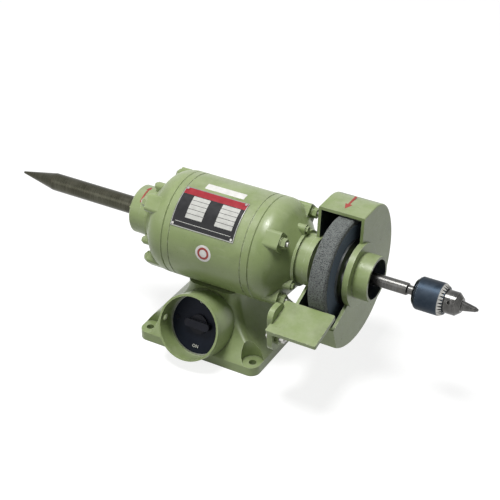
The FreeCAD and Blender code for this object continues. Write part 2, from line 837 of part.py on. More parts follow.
def guard_back_edges(inset, front_y):
    """Flat top, shoulder and round back of the guard, from front to low lip."""
    shoulder = guard_shoulder_r() - inset
    centre_y = GUARD_FLAT_END
    centre_z = GUARD_TOP - guard_shoulder_r()
    meet = math.degrees(math.atan2(centre_z, centre_y))
    half_way = math.radians((90 + meet) / 2)
    back_r = GUARD_R - inset
    top = Vector(0, centre_y, GUARD_TOP - inset)
    bend = Vector(0, centre_y + shoulder * math.cos(half_way),
                  centre_z + shoulder * math.sin(half_way))
    join = Vector(0, *polar(back_r, meet))
    around = (meet + GUARD_LOW_ANGLE - 360) / 2
    middle = Vector(0, *polar(back_r, around))
    low = Vector(0, *polar(back_r, GUARD_LOW_ANGLE))
    front = Vector(0, front_y, GUARD_TOP - inset)
    edges = [Part.LineSegment(front, top).toShape()]
    edges.append(Part.Arc(top, bend, join).toShape())
    edges.append(Part.Arc(join, middle, low).toShape())
    return front, low, edges


def extrude_outline(edges, start, corners, x0, x1):
    """Close a YZ outline with straight edges and extrude it along X."""
    points = [start] + corners
    lines = [Part.LineSegment(a, b).toShape() for a, b in zip(points, points[1:])]
    face = Part.Face(Part.Wire(edges + lines))
    solid = face.extrude(Vector(x1 - x0, 0, 0))
    solid.translate(Vector(x0, 0, 0))
    return solid


def guard_drum():
    """Solid outline of the guard, cut away in front of the wheel."""
    front, low, edges = guard_back_edges(0.0, GUARD_TOP_FRONT)
    lip = Vector(0, GUARD_LIP_Y, GUARD_LIP_Z)
    rise = -GUARD_LIP_Y * math.tan(math.radians(GUARD_CUT_ANGLE))
    inner = Vector(0, 0, GUARD_LIP_Z + rise)
    return extrude_outline(edges, low, [lip, inner, front], GUARD_X, GUARD_X + GUARD_WIDTH)


def guard_hollow():
    front, low, edges = guard_back_edges(GUARD_WALL, GUARD_TOP_FRONT - GUARD_R)
    outer_low = Vector(0, *polar(GUARD_R, GUARD_LOW_ANGLE))
    slope = Vector(0, GUARD_LIP_Y, GUARD_LIP_Z) - outer_low
    lip = Vector(0, GUARD_LIP_Y + GUARD_WALL, GUARD_LIP_Z) + slope * 0.5
    end = GUARD_X + GUARD_WIDTH - GUARD_WALL
    return extrude_outline(edges, low, [lip, front], GUARD_X + GUARD_WALL, end)


def rest_bolt_place():
    """Y and Z of the clamp bolt, counted from the shaft."""
    return ARM_BACK_Y - ARM_WIDTH / 2, EAR_TOP - EAR_HEIGHT / 2


def guard_ear():
    """Forward lug of the left wall that carries the tool rest."""
    radius = EAR_HEIGHT / 2
    middle = EAR_TOP - radius
    bar = Part.makeBox(GUARD_WALL, EAR_REACH - radius + GUARD_LIP_Y + GUARD_WALL, EAR_HEIGHT,
                       Vector(GUARD_X, -EAR_REACH + radius, EAR_TOP - EAR_HEIGHT))
    end = rod_x(radius, GUARD_X, GUARD_X + GUARD_WALL, -EAR_REACH + radius, middle)
    root = Part.makeBox(GUARD_WALL, -GUARD_LIP_Y - GUARD_WALL - SHIELD_HUB_R, EAR_HEIGHT,
                        Vector(GUARD_X, GUARD_LIP_Y + GUARD_WALL, EAR_TOP - EAR_HEIGHT))
    return [bar, end, root]


def wheel_guard():
    drum = guard_drum()
    right_x = GUARD_X + GUARD_WIDTH
    rim = [edge for edge in drum.Edges if edge.BoundBox.XLength < 0.01
           and edge.BoundBox.ZMin > GUARD_LIP_Z and edge.BoundBox.YMin > 0
           or edge.Curve.TypeId == "Part::GeomCircle"]
    drum = drum.makeFillet(GUARD_EDGE, rim)
    shell = drum.cut(guard_hollow())
    disc_back = right_x - GUARD_WALL
    pieces = [shell]
    pieces.append(rod_x(GUARD_BOSS_R, GUARD_X, GUARD_X + GUARD_BOSS_LENGTH))
    pieces.append(rod_x(GUARD_DISC_R, disc_back, right_x + GUARD_DISC_STEP))
    pieces.append(rod_x(COLLAR_R, disc_back, right_x + COLLAR_LENGTH))
    pieces.extend(guard_ear())
    casting = fused(pieces)
    cuts = [rod_x(GUARD_BOSS_BORE_R, GUARD_X, GUARD_X + GUARD_BOSS_LENGTH)]
    cuts.append(rod_x(COLLAR_BORE_R, disc_back, right_x + COLLAR_LENGTH))
    for angle in COVER_ANGLES:
        place = polar(GUARD_SCREW_PITCH_R, angle)
        face = GUARD_X + GUARD_BOSS_LENGTH
        cuts.append(rod_x(GUARD_SCREW_R + SEAT_GAP, GUARD_X, face, *place))
        cuts.append(rod_x(GUARD_SCREW_HEAD_R + SEAT_GAP, face - GUARD_SCREW_HEAD, face, *place))
    bolt = rest_bolt_place()
    cuts.append(rod_x(REST_BOLT_R + SEAT_GAP, GUARD_X, GUARD_X + GUARD_WALL, *bolt))
    return on_shaft(casting.cut(cuts))


def guard_screws():
    screws = []
    face = GUARD_X + GUARD_BOSS_LENGTH
    hub_face = HALF + SHIELD_HUB_END
    for angle in COVER_ANGLES:
        place = polar(GUARD_SCREW_PITCH_R, angle)
        shank = rod_x(GUARD_SCREW_R, hub_face - GUARD_SCREW_GRIP, face, *place)
        head = rod_x(GUARD_SCREW_HEAD_R, face - GUARD_SCREW_HEAD, face, *place)
        screws.append(on_shaft(fused([shank, head])))
    return group(screws)


def rest_plate():
    """Flat table of the rest, tilted up towards the wheel."""
    rel_z = -REST_BACK_DROP
    lean = REST_THICK * math.sin(math.radians(REST_TILT))
    back_y = -math.sqrt(WHEEL_R ** 2 - (rel_z - REST_THICK) ** 2) - REST_WHEEL_GAP - lean
    plate = Part.makeBox(REST_WIDTH, REST_DEPTH, REST_THICK, Vector(REST_X, -REST_DEPTH, -REST_THICK))
    upright = [edge for edge in plate.Edges if edge.BoundBox.ZLength > REST_THICK / 2]
    plate = plate.makeFillet(REST_THICK / 3, upright)
    plate.rotate(Vector(0, 0, 0), X_AXIS, REST_TILT)
    plate.translate(Vector(0, back_y, rel_z))
    return plate


def rest_arm():
    """Upright slotted arm at the left end of the table."""
    low = -ARM_TOP_DROP - ARM_HEIGHT
    arm = Part.makeBox(ARM_THICK, ARM_WIDTH, ARM_HEIGHT,
                       Vector(GUARD_X - ARM_THICK, ARM_BACK_Y - ARM_WIDTH, low))
    corners = [edge for edge in arm.Edges if edge.BoundBox.XLength > ARM_THICK / 2]
    return arm.makeFillet(ARM_CORNER, corners)


def tool_rest():
    rest = fused([rest_plate(), rest_arm()])
    bolt_y, bolt_z = rest_bolt_place()
    radius = REST_BOLT_R + HOLE_GAP
    half = REST_SLOT_LENGTH / 2 - radius
    back = GUARD_X - ARM_THICK
    slot = [rod_x(radius, back, GUARD_X, bolt_y - half, bolt_z)]
    slot.append(rod_x(radius, back, GUARD_X, bolt_y + half, bolt_z))
    slot.append(Part.makeBox(ARM_THICK, 2 * half, 2 * radius,
                             Vector(back, bolt_y - half, bolt_z - radius)))
    return on_shaft(rest.cut(slot))


def rest_bolt():
    """Clamp bolt fixed in the guard; the slotted arm slides behind its washer."""
    place = rest_bolt_place()
    washer_face = GUARD_X - ARM_THICK - MOVE_GAP
    head_face = washer_face - WASHER_THICK
    end = GUARD_X + GUARD_WALL
    shank = rod_x(REST_BOLT_R, washer_face, end + NUT_THICK + REST_BOLT_STICK_OUT, *place)
    washer = rod_x(WASHER_R + 1, head_face, washer_face, *place)
    head = hex_x(REST_BOLT_HEAD_FLATS, head_face - REST_BOLT_HEAD_THICK, head_face, *place)
    return on_shaft(fused([shank, washer, head]))


def rest_bolt_nut():
    place = rest_bolt_place()
    end = GUARD_X + GUARD_WALL
    nut = hex_x(NUT_FLATS, end, end + NUT_THICK, *place)
    return on_shaft(nut.cut(rod_x(REST_BOLT_R + SEAT_GAP, end, end + NUT_THICK, *place)))


def in_chuck(shape):
    """Move a shape drawn from the chuck's back face to its place."""
    shape.translate(Vector(CHUCK_X, 0, 0))
    return on_shaft(shape)


def jaw_axis_point(x):
    """Distance of a jaw's own axis from the chuck axis at x."""
    back = JAW_TIP - JAW_REACH
    return JAW_BACK_AXIS_R - (x - back) * math.tan(math.radians(JAW_TILT))


def jaw_bar(radius, x0, x1, degrees):
    """Round bar along a jaw's sloping axis."""
    start = Vector(x0, jaw_axis_point(x0), 0)
    finish = Vector(x1, jaw_axis_point(x1), 0)
    bar = Part.makeCylinder(radius, (finish - start).Length, start, finish - start)
    bar.rotate(ORIGIN, X_AXIS, degrees)
    return bar


def chuck_body():
    """Chuck body with back flange, nut groove, three sloping jaw bores and key pilot holes."""
    groove_front = CHUCK_NUT_BACK + CHUCK_NUT_LENGTH + MOVE_GAP
    flange_r = SLEEVE_R - SLEEVE_WALL - RUN_GAP
    body = turned([
        (0, 0),
        (0, BODY_BACK_R),
        (BODY_BACK_CONE, flange_r),
        (BODY_FLANGE, flange_r),
        (BODY_FLANGE, BODY_R),
        (CHUCK_NUT_BACK - MOVE_GAP, BODY_R),
        (CHUCK_NUT_BACK - MOVE_GAP, NUT_GROOVE_R),
        (groove_front, NUT_GROOVE_R),
        (groove_front, NOSE_R),
        (NOSE_END - NOSE_CONE, NOSE_R),
        (NOSE_END, NOSE_FACE_R),
        (NOSE_END, 0),
    ])
    stub_depth = ARBOR_END + CHUCK_STUB_LENGTH - CHUCK_X
    cuts = [rod_x(CHUCK_STUB_R + SEAT_GAP, 0, stub_depth)]
    for angle in JAW_ANGLES:
        cuts.append(jaw_bar(JAW_R + RUN_GAP, BODY_FLANGE + 1, JAW_TIP, angle))
        reach = NOSE_R - KEY_HOLE_DEPTH
        hole = Part.makeCylinder(KEY_HOLE_R, KEY_HOLE_DEPTH,
                                 Vector(KEY_HOLE_X, reach, 0), Vector(0, 1, 0))
        hole.rotate(ORIGIN, X_AXIS, angle + 60)
        cuts.append(hole)
    return in_chuck(body.cut(cuts))


def chuck_jaw(degrees):
    """Round jaw ground to a wedge, so that three meet on the chuck axis."""
    jaw = jaw_bar(JAW_R, JAW_TIP - JAW_REACH, JAW_TIP + JAW_R, 0)
    wedge = Part.Face(Part.makePolygon([
        Vector(0, 2 * JAW_FACE_GAP / math.sqrt(3), 0),
        Vector(0, *polar(4 * JAW_R, 60)),
        Vector(0, 8 * JAW_R, 0),
        Vector(0, *polar(4 * JAW_R, -60)),
        Vector(0, 2 * JAW_FACE_GAP / math.sqrt(3), 0),
    ])).extrude(Vector(JAW_TIP, 0, 0))
    tip = turned([
        (0, 0),
        (0, BODY_R + JAW_R),
        (JAW_TIP - JAW_TIP_CONE, BODY_R + JAW_R),
        (JAW_TIP - JAW_TIP_CONE, JAW_TIP_BASE_R),
        (JAW_TIP, JAW_TIP_R),
        (JAW_TIP, 0),
    ])
    jaw = jaw.common(wedge).common(tip)
    jaw.rotate(ORIGIN, X_AXIS, degrees)
    return in_chuck(jaw)


def tooth_gap(step):
    """Wedge cut between two bevel teeth on the front of the sleeve."""
    half = SLEEVE_R * math.pi / TOOTH_COUNT * TOOTH_SHARE
    floor = CHUCK_NUT_R + SEAT_GAP + TOOTH_FLOOR
    front = SLEEVE_LENGTH + 1
    root = SLEEVE_LENGTH - TOOTH_DEPTH
    wedge = Part.Face(Part.makePolygon([
        Vector(root, 0, 0),
        Vector(front, 0, half),
        Vector(front, 0, -half),
        Vector(root, 0, 0),
    ])).extrude(Vector(0, SLEEVE_R, 0))
    wedge.translate(Vector(0, floor, 0))
    wedge.rotate(ORIGIN, X_AXIS, 360 * (step + 0.5) / TOOTH_COUNT)
    return wedge


def chuck_sleeve():
    """Toothed outer sleeve, pushed on from the front until its lip meets the split nut."""
    bore = SLEEVE_R - SLEEVE_WALL
    seat = CHUCK_NUT_R + SEAT_GAP
    front_bore = NOSE_R + RUN_GAP
    nut_front = CHUCK_NUT_BACK + CHUCK_NUT_LENGTH
    sleeve = turned([
        (SLEEVE_BACK, bore),
        (SLEEVE_BACK, bore + SLEEVE_BACK_RIM),
        (SLEEVE_BACK_CHAMFER, SLEEVE_R),
        (SLEEVE_LENGTH - SLEEVE_BEVEL, SLEEVE_R),
        (SLEEVE_LENGTH, SLEEVE_FRONT_R),
        (SLEEVE_LENGTH, front_bore),
        (nut_front, front_bore),
        (nut_front, seat),
        (CHUCK_NUT_BACK, seat),
        (CHUCK_NUT_BACK, bore),
    ])
    return in_chuck(sleeve.cut([tooth_gap(step) for step in range(TOOTH_COUNT)]))


def chuck_nut():
    """Split nut whose cone runs on the backs of the jaws."""
    back = CHUCK_NUT_BACK
    front = CHUCK_NUT_BACK + CHUCK_NUT_LENGTH
    rise = JAW_R / math.cos(math.radians(JAW_TILT)) + MOVE_GAP
    nut = turned([
        (back, jaw_axis_point(back) + rise),
        (back, CHUCK_NUT_R),
        (front, CHUCK_NUT_R),
        (front, jaw_axis_point(front) + rise),
    ])
    saw = Part.makeBox(CHUCK_NUT_LENGTH, 4 * CHUCK_NUT_R, NUT_SPLIT,
                       Vector(back, -2 * CHUCK_NUT_R, -NUT_SPLIT / 2))
    return group([in_chuck(half) for half in nut.cut(saw).Solids])


def cup_frame(shape):
    """Tilt a shape drawn along +Z from the cup's mouth to the cup's axis."""
    shape.rotate(ORIGIN, X_AXIS, 90 - CUP_TILT)
    shape.translate(Vector(0, CUP_Y, CUP_Z))
    return shape


def cup_post(radius, depth0, depth1):
    """Cylinder on the cup's axis between two depths below its mouth."""
    return cup_frame(Part.makeCylinder(radius, depth1 - depth0, Vector(0, 0, -depth1), Z_AXIS))


def pedestal_sections():
    """Length, depth, corner radius and height of each level of the flared column."""
    return [
        (FOOT_LENGTH, FOOT_DEPTH, PEDESTAL_FOOT_CORNER, FOOT_THICK),
        (FLARE_LOW_X, FLARE_LOW_Y, FLARE_LOW_CORNER, FLARE_LOW_Z),
        (FLARE_MID_X, FLARE_MID_Y, FLARE_MID_CORNER, FLARE_MID_Z),
        (FLARE_TOP_X, FLARE_TOP_Y, FLARE_TOP_CORNER, FLARE_TOP_Z),
        (PEDESTAL_TOP_X, PEDESTAL_TOP_Y, PEDESTAL_TOP_CORNER, PEDESTAL_TOP_Z),
    ]


def base_outside():
    foot = Part.Face(rounded_box_wire(FOOT_LENGTH, FOOT_DEPTH, FOOT_CORNER, 0))
    foot = foot.extrude(Vector(0, 0, FOOT_THICK))
    body = Part.makeLoft([rounded_box_wire(*level) for level in pedestal_sections()], True, False)
    limit = Part.Face(rounded_box_wire(FOOT_LENGTH, FOOT_DEPTH, FOOT_CORNER, 0))
    body = body.common(limit.extrude(Vector(0, 0, PEDESTAL_TOP_Z)))
    cup = cup_post(CUP_R, 0, CUP_DEPTH + CUP_FLOOR + CUP_BLEND)
    floor = Part.makeBox(FOOT_LENGTH, 2 * FOOT_DEPTH, CUP_R,
                         Vector(-FOOT_LENGTH / 2, -FOOT_DEPTH, -CUP_R))
    return fused([foot, body, cup.cut(floor)])


def base_hollow():
    """Space inside the pedestal, kept clear of the switch cup."""
    roof = PEDESTAL_TOP_Z - BASE_ROOF
    low_x = COVER_PLATE_X - 2 * COVER_LEDGE
    low_y = COVER_PLATE_Y - 2 * COVER_LEDGE
    levels = [(low_x, low_y, PEDESTAL_FOOT_CORNER, 0)]
    for size_x, size_y, corner, z in pedestal_sections()[1:-1]:
        levels.append((min(low_x, size_x - 2 * BASE_WALL), min(low_y, size_y - 2 * BASE_WALL),
                       PEDESTAL_FOOT_CORNER, z))
    levels.append((PEDESTAL_TOP_X - 2 * BASE_WALL, PEDESTAL_TOP_Y - 2 * BASE_WALL,
                   PEDESTAL_FOOT_CORNER, roof))
    room = Part.makeLoft([rounded_box_wire(*level) for level in levels], True, True)
    room = room.cut(cup_post(CUP_R, 0, CUP_DEPTH + CUP_FLOOR))
    recess = Part.makeBox(COVER_PLATE_X + 2 * HOLE_GAP, COVER_PLATE_Y + 2 * HOLE_GAP,
                          COVER_PLATE_RAISE + COVER_PLATE_THICK,
                          Vector(-COVER_PLATE_X / 2 - HOLE_GAP, -COVER_PLATE_Y / 2 - HOLE_GAP, 0))
    return [room, recess]


def corners_of(spacing_x, spacing_y):
    return [(sx * spacing_x / 2, sy * spacing_y / 2) for sx in (-1, 1) for sy in (-1, 1)]


def base_pedestal():
    """Hollow cast base with bolt pockets and the tilted switch cup."""
    casting = base_outside()
    cuts = base_hollow()
    for x, y in corners_of(BOLT_SPACING_X, BOLT_SPACING_Y):
        cuts.append(Part.makeCylinder(BOLT_HOLE_R, FOOT_THICK, Vector(x, y, 0)))
        cuts.append(Part.makeCylinder(POCKET_R, PEDESTAL_TOP_Z, Vector(x, y, FOOT_THICK)))
    for x, y in corners_of(PAD_BOLT_X, PAD_BOLT_Y):
        cuts.append(Part.makeCylinder(PAD_BOLT_R + HOLE_GAP, PEDESTAL_TOP_Z, Vector(x, y, BASE_ROOF)))
    for x, y in corners_of(COVER_PLATE_X - COVER_LEDGE, COVER_PLATE_Y - COVER_LEDGE):
        cuts.append(Part.makeCylinder(COVER_PLATE_SCREW_R + SEAT_GAP,
                                      COVER_PLATE_SCREW_LENGTH + COVER_PLATE_RAISE, Vector(x, y, 0)))
    cuts.append(cup_post(CUP_R - CUP_WALL, 0, CUP_DEPTH))
    saddle = rod_x(BARREL_R + SEAT_GAP, -FOOT_LENGTH, FOOT_LENGTH)
    saddle.translate(Vector(0, 0, SHAFT_Z))
    cuts.append(saddle)
    switch_room_r = SWITCH_BODY_SIDE * math.sqrt(0.5) + HOLE_GAP
    cuts.append(cup_post(switch_room_r, 0, CUP_DEPTH + SWITCH_BODY_LENGTH + HOLE_GAP))
    inlet = Part.makeCylinder(INLET_R, 2 * CUP_R, Vector(0, 0, -INLET_DEPTH), Vector(-1, 0, 0))
    cuts.append(cup_frame(inlet))
    for place in switch_screw_places():
        hole = Part.makeCylinder(SWITCH_SCREW_R + SEAT_GAP, CUP_FLOOR,
                                 Vector(place[0], place[1], -CUP_DEPTH - CUP_FLOOR))
        cuts.append(cup_frame(hole))
    return casting.cut(cuts)


def pad_bolt_grip():
    """Length of a pad bolt in the barrel's wall, ending short of the bore."""
    bore_r = BARREL_R - BARREL_WALL
    inner_y = PAD_BOLT_Y / 2 - PAD_BOLT_R
    return BARREL_R - SADDLE_DEPTH - math.sqrt(bore_r ** 2 - inner_y ** 2) - HOLE_GAP


def pad_bolts():
    bolts = []
    roof = PEDESTAL_TOP_Z - BASE_ROOF
    for x, y in corners_of(PAD_BOLT_X, PAD_BOLT_Y):
        shank = Part.makeCylinder(PAD_BOLT_R, BASE_ROOF + pad_bolt_grip(), Vector(x, y, roof))
        head = hex_x(PAD_BOLT_HEAD_FLATS, 0, PAD_BOLT_HEAD_THICK)
        head.rotate(ORIGIN, Vector(0, 1, 0), 90)
        head.translate(Vector(x, y, roof))
        bolts.append(fused([shank, head]))
    return group(bolts)


def bottom_cover():
    plate = Part.makeBox(COVER_PLATE_X, COVER_PLATE_Y, COVER_PLATE_THICK,
                         Vector(-COVER_PLATE_X / 2, -COVER_PLATE_Y / 2, COVER_PLATE_RAISE))
    holes = []
    for x, y in corners_of(COVER_PLATE_X - COVER_LEDGE, COVER_PLATE_Y - COVER_LEDGE):
        holes.append(Part.makeCylinder(COVER_PLATE_SCREW_R + SEAT_GAP, COVER_PLATE_THICK,
                                       Vector(x, y, COVER_PLATE_RAISE)))
    return plate.cut(holes)


def bottom_cover_screws():
    screws = []
    for x, y in corners_of(COVER_PLATE_X - COVER_LEDGE, COVER_PLATE_Y - COVER_LEDGE):
        screws.append(Part.makeCylinder(COVER_PLATE_SCREW_R, COVER_PLATE_SCREW_LENGTH,
                                        Vector(x, y, COVER_PLATE_RAISE)))
    return group(screws)


def capacitor_floor():
    return COVER_PLATE_RAISE + COVER_PLATE_THICK


def run_capacitor():
    z = capacitor_floor() + CAPACITOR_R + SEAT_GAP
    can = rod_x(CAPACITOR_R, -CAPACITOR_LENGTH / 2, CAPACITOR_LENGTH / 2, CAPACITOR_Y, z)
    ends = [edge for edge in can.Edges if len(edge.Vertexes) == 1]
    can = can.makeFillet(CAN_EDGE, ends)
    blades = []
    for shift in (-1, 1):
        place = Vector(CAPACITOR_LENGTH / 2 - TERMINAL_THICK, CAPACITOR_Y + shift * CAPACITOR_R / 3,
                       z - TERMINAL_WIDTH / 2)
        blades.append(Part.makeBox(CAPACITOR_TERMINAL, TERMINAL_THICK, TERMINAL_WIDTH, place))
    return fused([can] + blades)


def capacitor_strap():
    floor = capacitor_floor()
    z = floor + CAPACITOR_R + SEAT_GAP
    inner = CAPACITOR_R + SEAT_GAP
    outer = inner + STRAP_THICK
    half = STRAP_WIDTH / 2
    hoop = rod_x(outer, -half, half, CAPACITOR_Y, z)
    below = Part.makeBox(STRAP_WIDTH, 2 * outer, outer, Vector(-half, CAPACITOR_Y - outer, floor - outer))
    hoop = hoop.cut(below)
    hoop = hoop.fuse(Part.makeBox(STRAP_WIDTH, 2 * outer, z - floor,
                                  Vector(-half, CAPACITOR_Y - outer, floor)))
    feet = Part.makeBox(STRAP_WIDTH, 2 * (outer + STRAP_FOOT), STRAP_THICK,
                        Vector(-half, CAPACITOR_Y - outer - STRAP_FOOT, floor))
    room = rod_x(inner, -half, half, CAPACITOR_Y, z)
    room = room.fuse(Part.makeBox(STRAP_WIDTH, 2 * inner, z - floor,
                                  Vector(-half, CAPACITOR_Y - inner, floor)))
    return fused([hoop, feet]).cut(room)


def switch_screw_places():
    places = []
    for angle in (0.0, 180.0):
        turn = math.radians(angle)
        places.append((SWITCH_SCREW_PITCH_R * math.cos(turn), SWITCH_SCREW_PITCH_R * math.sin(turn)))
    return places


def switch_plate():
    front = CUP_DEPTH - SWITCH_PLATE_THICK
    plate = cup_post(SWITCH_PLATE_R, front, CUP_DEPTH)
    cuts = [cup_post(SWITCH_STEM_R + MOVE_GAP, front, CUP_DEPTH)]
    for x, y in switch_screw_places():
        hole = Part.makeCylinder(SWITCH_SCREW_R + SEAT_GAP, SWITCH_PLATE_THICK, Vector(x, y, -CUP_DEPTH))
        cuts.append(cup_frame(hole))
    return plate.cut(cuts)


def switch_bezel():
    """Bright ring round the switch plate."""
    inner = SWITCH_PLATE_R + SEAT_GAP
    outer = CUP_R - CUP_WALL - SEAT_GAP
    front = CUP_DEPTH - SWITCH_PLATE_THICK - BEZEL_LIP
    ring = cup_post(min(outer, inner + BEZEL_WIDTH), front, CUP_DEPTH)
    return ring.cut(cup_post(inner, front, CUP_DEPTH))


def switch_body():
    side = SWITCH_BODY_SIDE
    block = Part.makeBox(side, side, SWITCH_BODY_LENGTH,
                         Vector(-side / 2, -side / 2, -CUP_DEPTH - SWITCH_BODY_LENGTH))
    block = cup_frame(block)
    return block.cut(cup_post(SWITCH_STEM_R + RUN_GAP, CUP_DEPTH, CUP_DEPTH + SWITCH_BODY_LENGTH / 2))


def switch_screws():
    screws = []
    front = CUP_DEPTH - SWITCH_PLATE_THICK
    for x, y in switch_screw_places():
        shank = Part.makeCylinder(SWITCH_SCREW_R, SWITCH_PLATE_THICK + CUP_FLOOR,
                                  Vector(x, y, -CUP_DEPTH - CUP_FLOOR))
        head = Part.makeCylinder(SWITCH_SCREW_HEAD_R, SWITCH_SCREW_HEAD, Vector(x, y, -front))
        screws.append(cup_frame(fused([shank, head])))
    return group(screws)


def switch_knob():
    """Bar knob with a round base and the stem that turns the contacts."""
    low = -(CUP_DEPTH - SWITCH_PLATE_THICK) + MOVE_GAP
    base = Part.makeCylinder(KNOB_BASE_R, KNOB_BASE_HEIGHT, Vector(0, 0, low))
    straight = KNOB_BAR_LENGTH - KNOB_BAR_WIDTH
    bar = Part.makeBox(straight, KNOB_BAR_WIDTH, KNOB_BAR_HEIGHT,
                       Vector(-straight / 2, -KNOB_BAR_WIDTH / 2, low))
    ends = []
    for side in (-1, 1):
        ends.append(Part.makeCylinder(KNOB_BAR_WIDTH / 2, KNOB_BAR_HEIGHT,
                                      Vector(side * straight / 2, 0, low)))
    stem_low = -CUP_DEPTH - SWITCH_BODY_LENGTH / 2 + MOVE_GAP
    stem = Part.makeCylinder(SWITCH_STEM_R, low - stem_low, Vector(0, 0, stem_low))
    return cup_frame(fused([base, bar] + ends + [stem]))


def rating_plate():
    """Thin plate bent round the front of the barrel."""
    inner = BARREL_R + SEAT_GAP
    band = ring_x(inner + PLATE_THICK, inner, PLATE_X0, PLATE_X1)
    points = [ORIGIN]
    for share in (0.0, 0.5, 1.0):
        angle = PLATE_ANGLE0 + (PLATE_ANGLE1 - PLATE_ANGLE0) * share
        points.append(Vector(0, *polar(2 * BARREL_R, angle)))
    points = [Vector(PLATE_X0, p.y, p.z) for p in points]
    sector = Part.Face(Part.makePolygon(points + points[:1]))
    sector = sector.extrude(Vector(PLATE_X1 - PLATE_X0, 0, 0))
    plate = band.common(sector)
    for x, angle in rivet_places():
        hole = rivet_pin(x, angle, RIVET_R / 2 + SEAT_GAP, BARREL_R, BARREL_R + 2 * PLATE_THICK)
        plate = plate.cut(hole)
    return on_shaft(plate)


def rivet_places():
    turn = math.degrees(RIVET_INSET / BARREL_R)
    places = []
    for x in (PLATE_X0 + RIVET_INSET, PLATE_X1 - RIVET_INSET):
        for angle in (PLATE_ANGLE0 + turn, PLATE_ANGLE1 - turn):
            places.append((x, angle))
    return places


def rivet_pin(x, angle, radius, low, high):
    pin = Part.makeCylinder(radius, high - low, Vector(x, low, 0), Vector(0, 1, 0))
    pin.rotate(ORIGIN, X_AXIS, angle)
    return pin


def plate_rivets():
    rivets = []
    face = BARREL_R + 2 * SEAT_GAP + PLATE_THICK
    for x, angle in rivet_places():
        shank = rivet_pin(x, angle, RIVET_R / 2, BARREL_R + SEAT_GAP, face)
        head = rivet_pin(x, angle, RIVET_R, face, face + RIVET_HEAD)
        rivets.append(on_shaft(fused([shank, head])))
    return group(rivets)


def main():
    os.makedirs("parts", exist_ok=True)
    save("base_pedestal", base_pedestal())
    save("pad_bolts", pad_bolts())
    save("bottom_cover", bottom_cover())
    save("bottom_cover_screws", bottom_cover_screws())
    save("run_capacitor", run_capacitor())
    save("capacitor_strap", capacitor_strap())
    save("switch_plate", switch_plate())
    save("switch_bezel", switch_bezel())
    save("switch_body", switch_body())
    save("switch_screws", switch_screws())
    save("switch_knob", switch_knob())
    save("motor_barrel", motor_barrel())
    save("left_end_shield", left_end_shield())
    save("right_end_shield", right_end_shield())
    save("left_bearing_cap", bearing_cap())
    save("bearing_cap_screws", cap_screws())
    save("left_bearing_cover", bearing_cover(LEFT_OUTER_R, LEFT_WIDTH, ROTOR_SEAT_R, LEFT))
    save("right_bearing_cover", bearing_cover(RIGHT_OUTER_R, RIGHT_WIDTH, ROTOR_SEAT_R, RIGHT))
    save("bearing_cover_screws", cover_screws())
    save("tie_rods", tie_rods())
    save("tie_rod_washers", tie_rod_washers())
    save("tie_rod_nuts", tie_rod_nuts())
    save("rating_plate", rating_plate())
    save("rating_plate_rivets", plate_rivets())
    save("stator_core", stator_core())
    save("stator_winding", stator_winding())
    left = (LEFT_BORE_R, LEFT_OUTER_R, LEFT_WIDTH, LEFT_BALL_R)
    right = (RIGHT_BORE_R, RIGHT_OUTER_R, RIGHT_WIDTH, RIGHT_BALL_R)
    save("left_bearing_outer_race", outer_race(*left, LEFT))
    save("left_bearing_inner_race", inner_race(*left, LEFT))
    save("left_bearing_balls", bearing_balls(*left, LEFT_BALLS, LEFT))
    save("right_bearing_outer_race", outer_race(*right, RIGHT))
    save("right_bearing_inner_race", inner_race(*right, RIGHT))
    save("right_bearing_balls", bearing_balls(*right, RIGHT_BALLS, RIGHT))
    save("main_shaft", main_shaft())
    save("rotor_core", rotor_core())
    save("rotor_end_rings", rotor_end_rings())
    save("inner_flange", inner_flange())
    save("outer_flange", outer_flange())
    save("wheel_blotters", wheel_blotters())
    save("grinding_wheel", grinding_wheel())
    save("wheel_nut", wheel_nut())
    save("wheel_guard", wheel_guard())
    save("guard_screws", guard_screws())
    save("tool_rest", tool_rest())
    save("tool_rest_bolt", rest_bolt())
    save("tool_rest_nut", rest_bolt_nut())
    save("chuck_body", chuck_body())
    save("chuck_sleeve", chuck_sleeve())
    save("chuck_nut", chuck_nut())
    for number, angle in enumerate(JAW_ANGLES, 1):
        save("chuck_jaw_" + str(number), chuck_jaw(angle))


main()
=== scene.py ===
# %% [markdown]
# Bench grinder and polisher, dressed for a studio picture.
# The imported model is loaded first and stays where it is. It holds every solid shape of the
# machine, so none is modelled twice: what follows adds finishes, printed marks, a floor,
# light and a camera around it.

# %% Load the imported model
import bpy
import math
from mathutils import Matrix, Vector


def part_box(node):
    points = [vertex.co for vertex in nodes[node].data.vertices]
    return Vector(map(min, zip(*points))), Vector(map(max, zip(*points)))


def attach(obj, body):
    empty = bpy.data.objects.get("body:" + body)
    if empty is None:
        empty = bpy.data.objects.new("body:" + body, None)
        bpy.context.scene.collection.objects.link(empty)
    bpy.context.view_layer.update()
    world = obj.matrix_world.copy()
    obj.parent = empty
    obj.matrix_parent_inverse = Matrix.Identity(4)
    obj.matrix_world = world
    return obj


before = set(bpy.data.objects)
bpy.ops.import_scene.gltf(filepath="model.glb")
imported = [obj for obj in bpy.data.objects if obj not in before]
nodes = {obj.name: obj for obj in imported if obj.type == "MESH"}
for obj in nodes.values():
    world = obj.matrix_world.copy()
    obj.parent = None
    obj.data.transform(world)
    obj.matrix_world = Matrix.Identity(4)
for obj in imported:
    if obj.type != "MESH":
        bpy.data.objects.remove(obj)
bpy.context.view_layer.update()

# %% [markdown]
# Marks and masks have to lie on the machine's surfaces. They could be placed by eye, but a
# place that is worked out from the main sizes, in metres, fits at once.
# The shaft lies along X at a height above the bench, and the motor's middle is a little to
# the right of the base's middle.

# %% Main sizes
SHAFT_Z = 0.165
MOTOR_X = 0.0115
BARREL_R = 0.075
print("shaft height", SHAFT_Z)

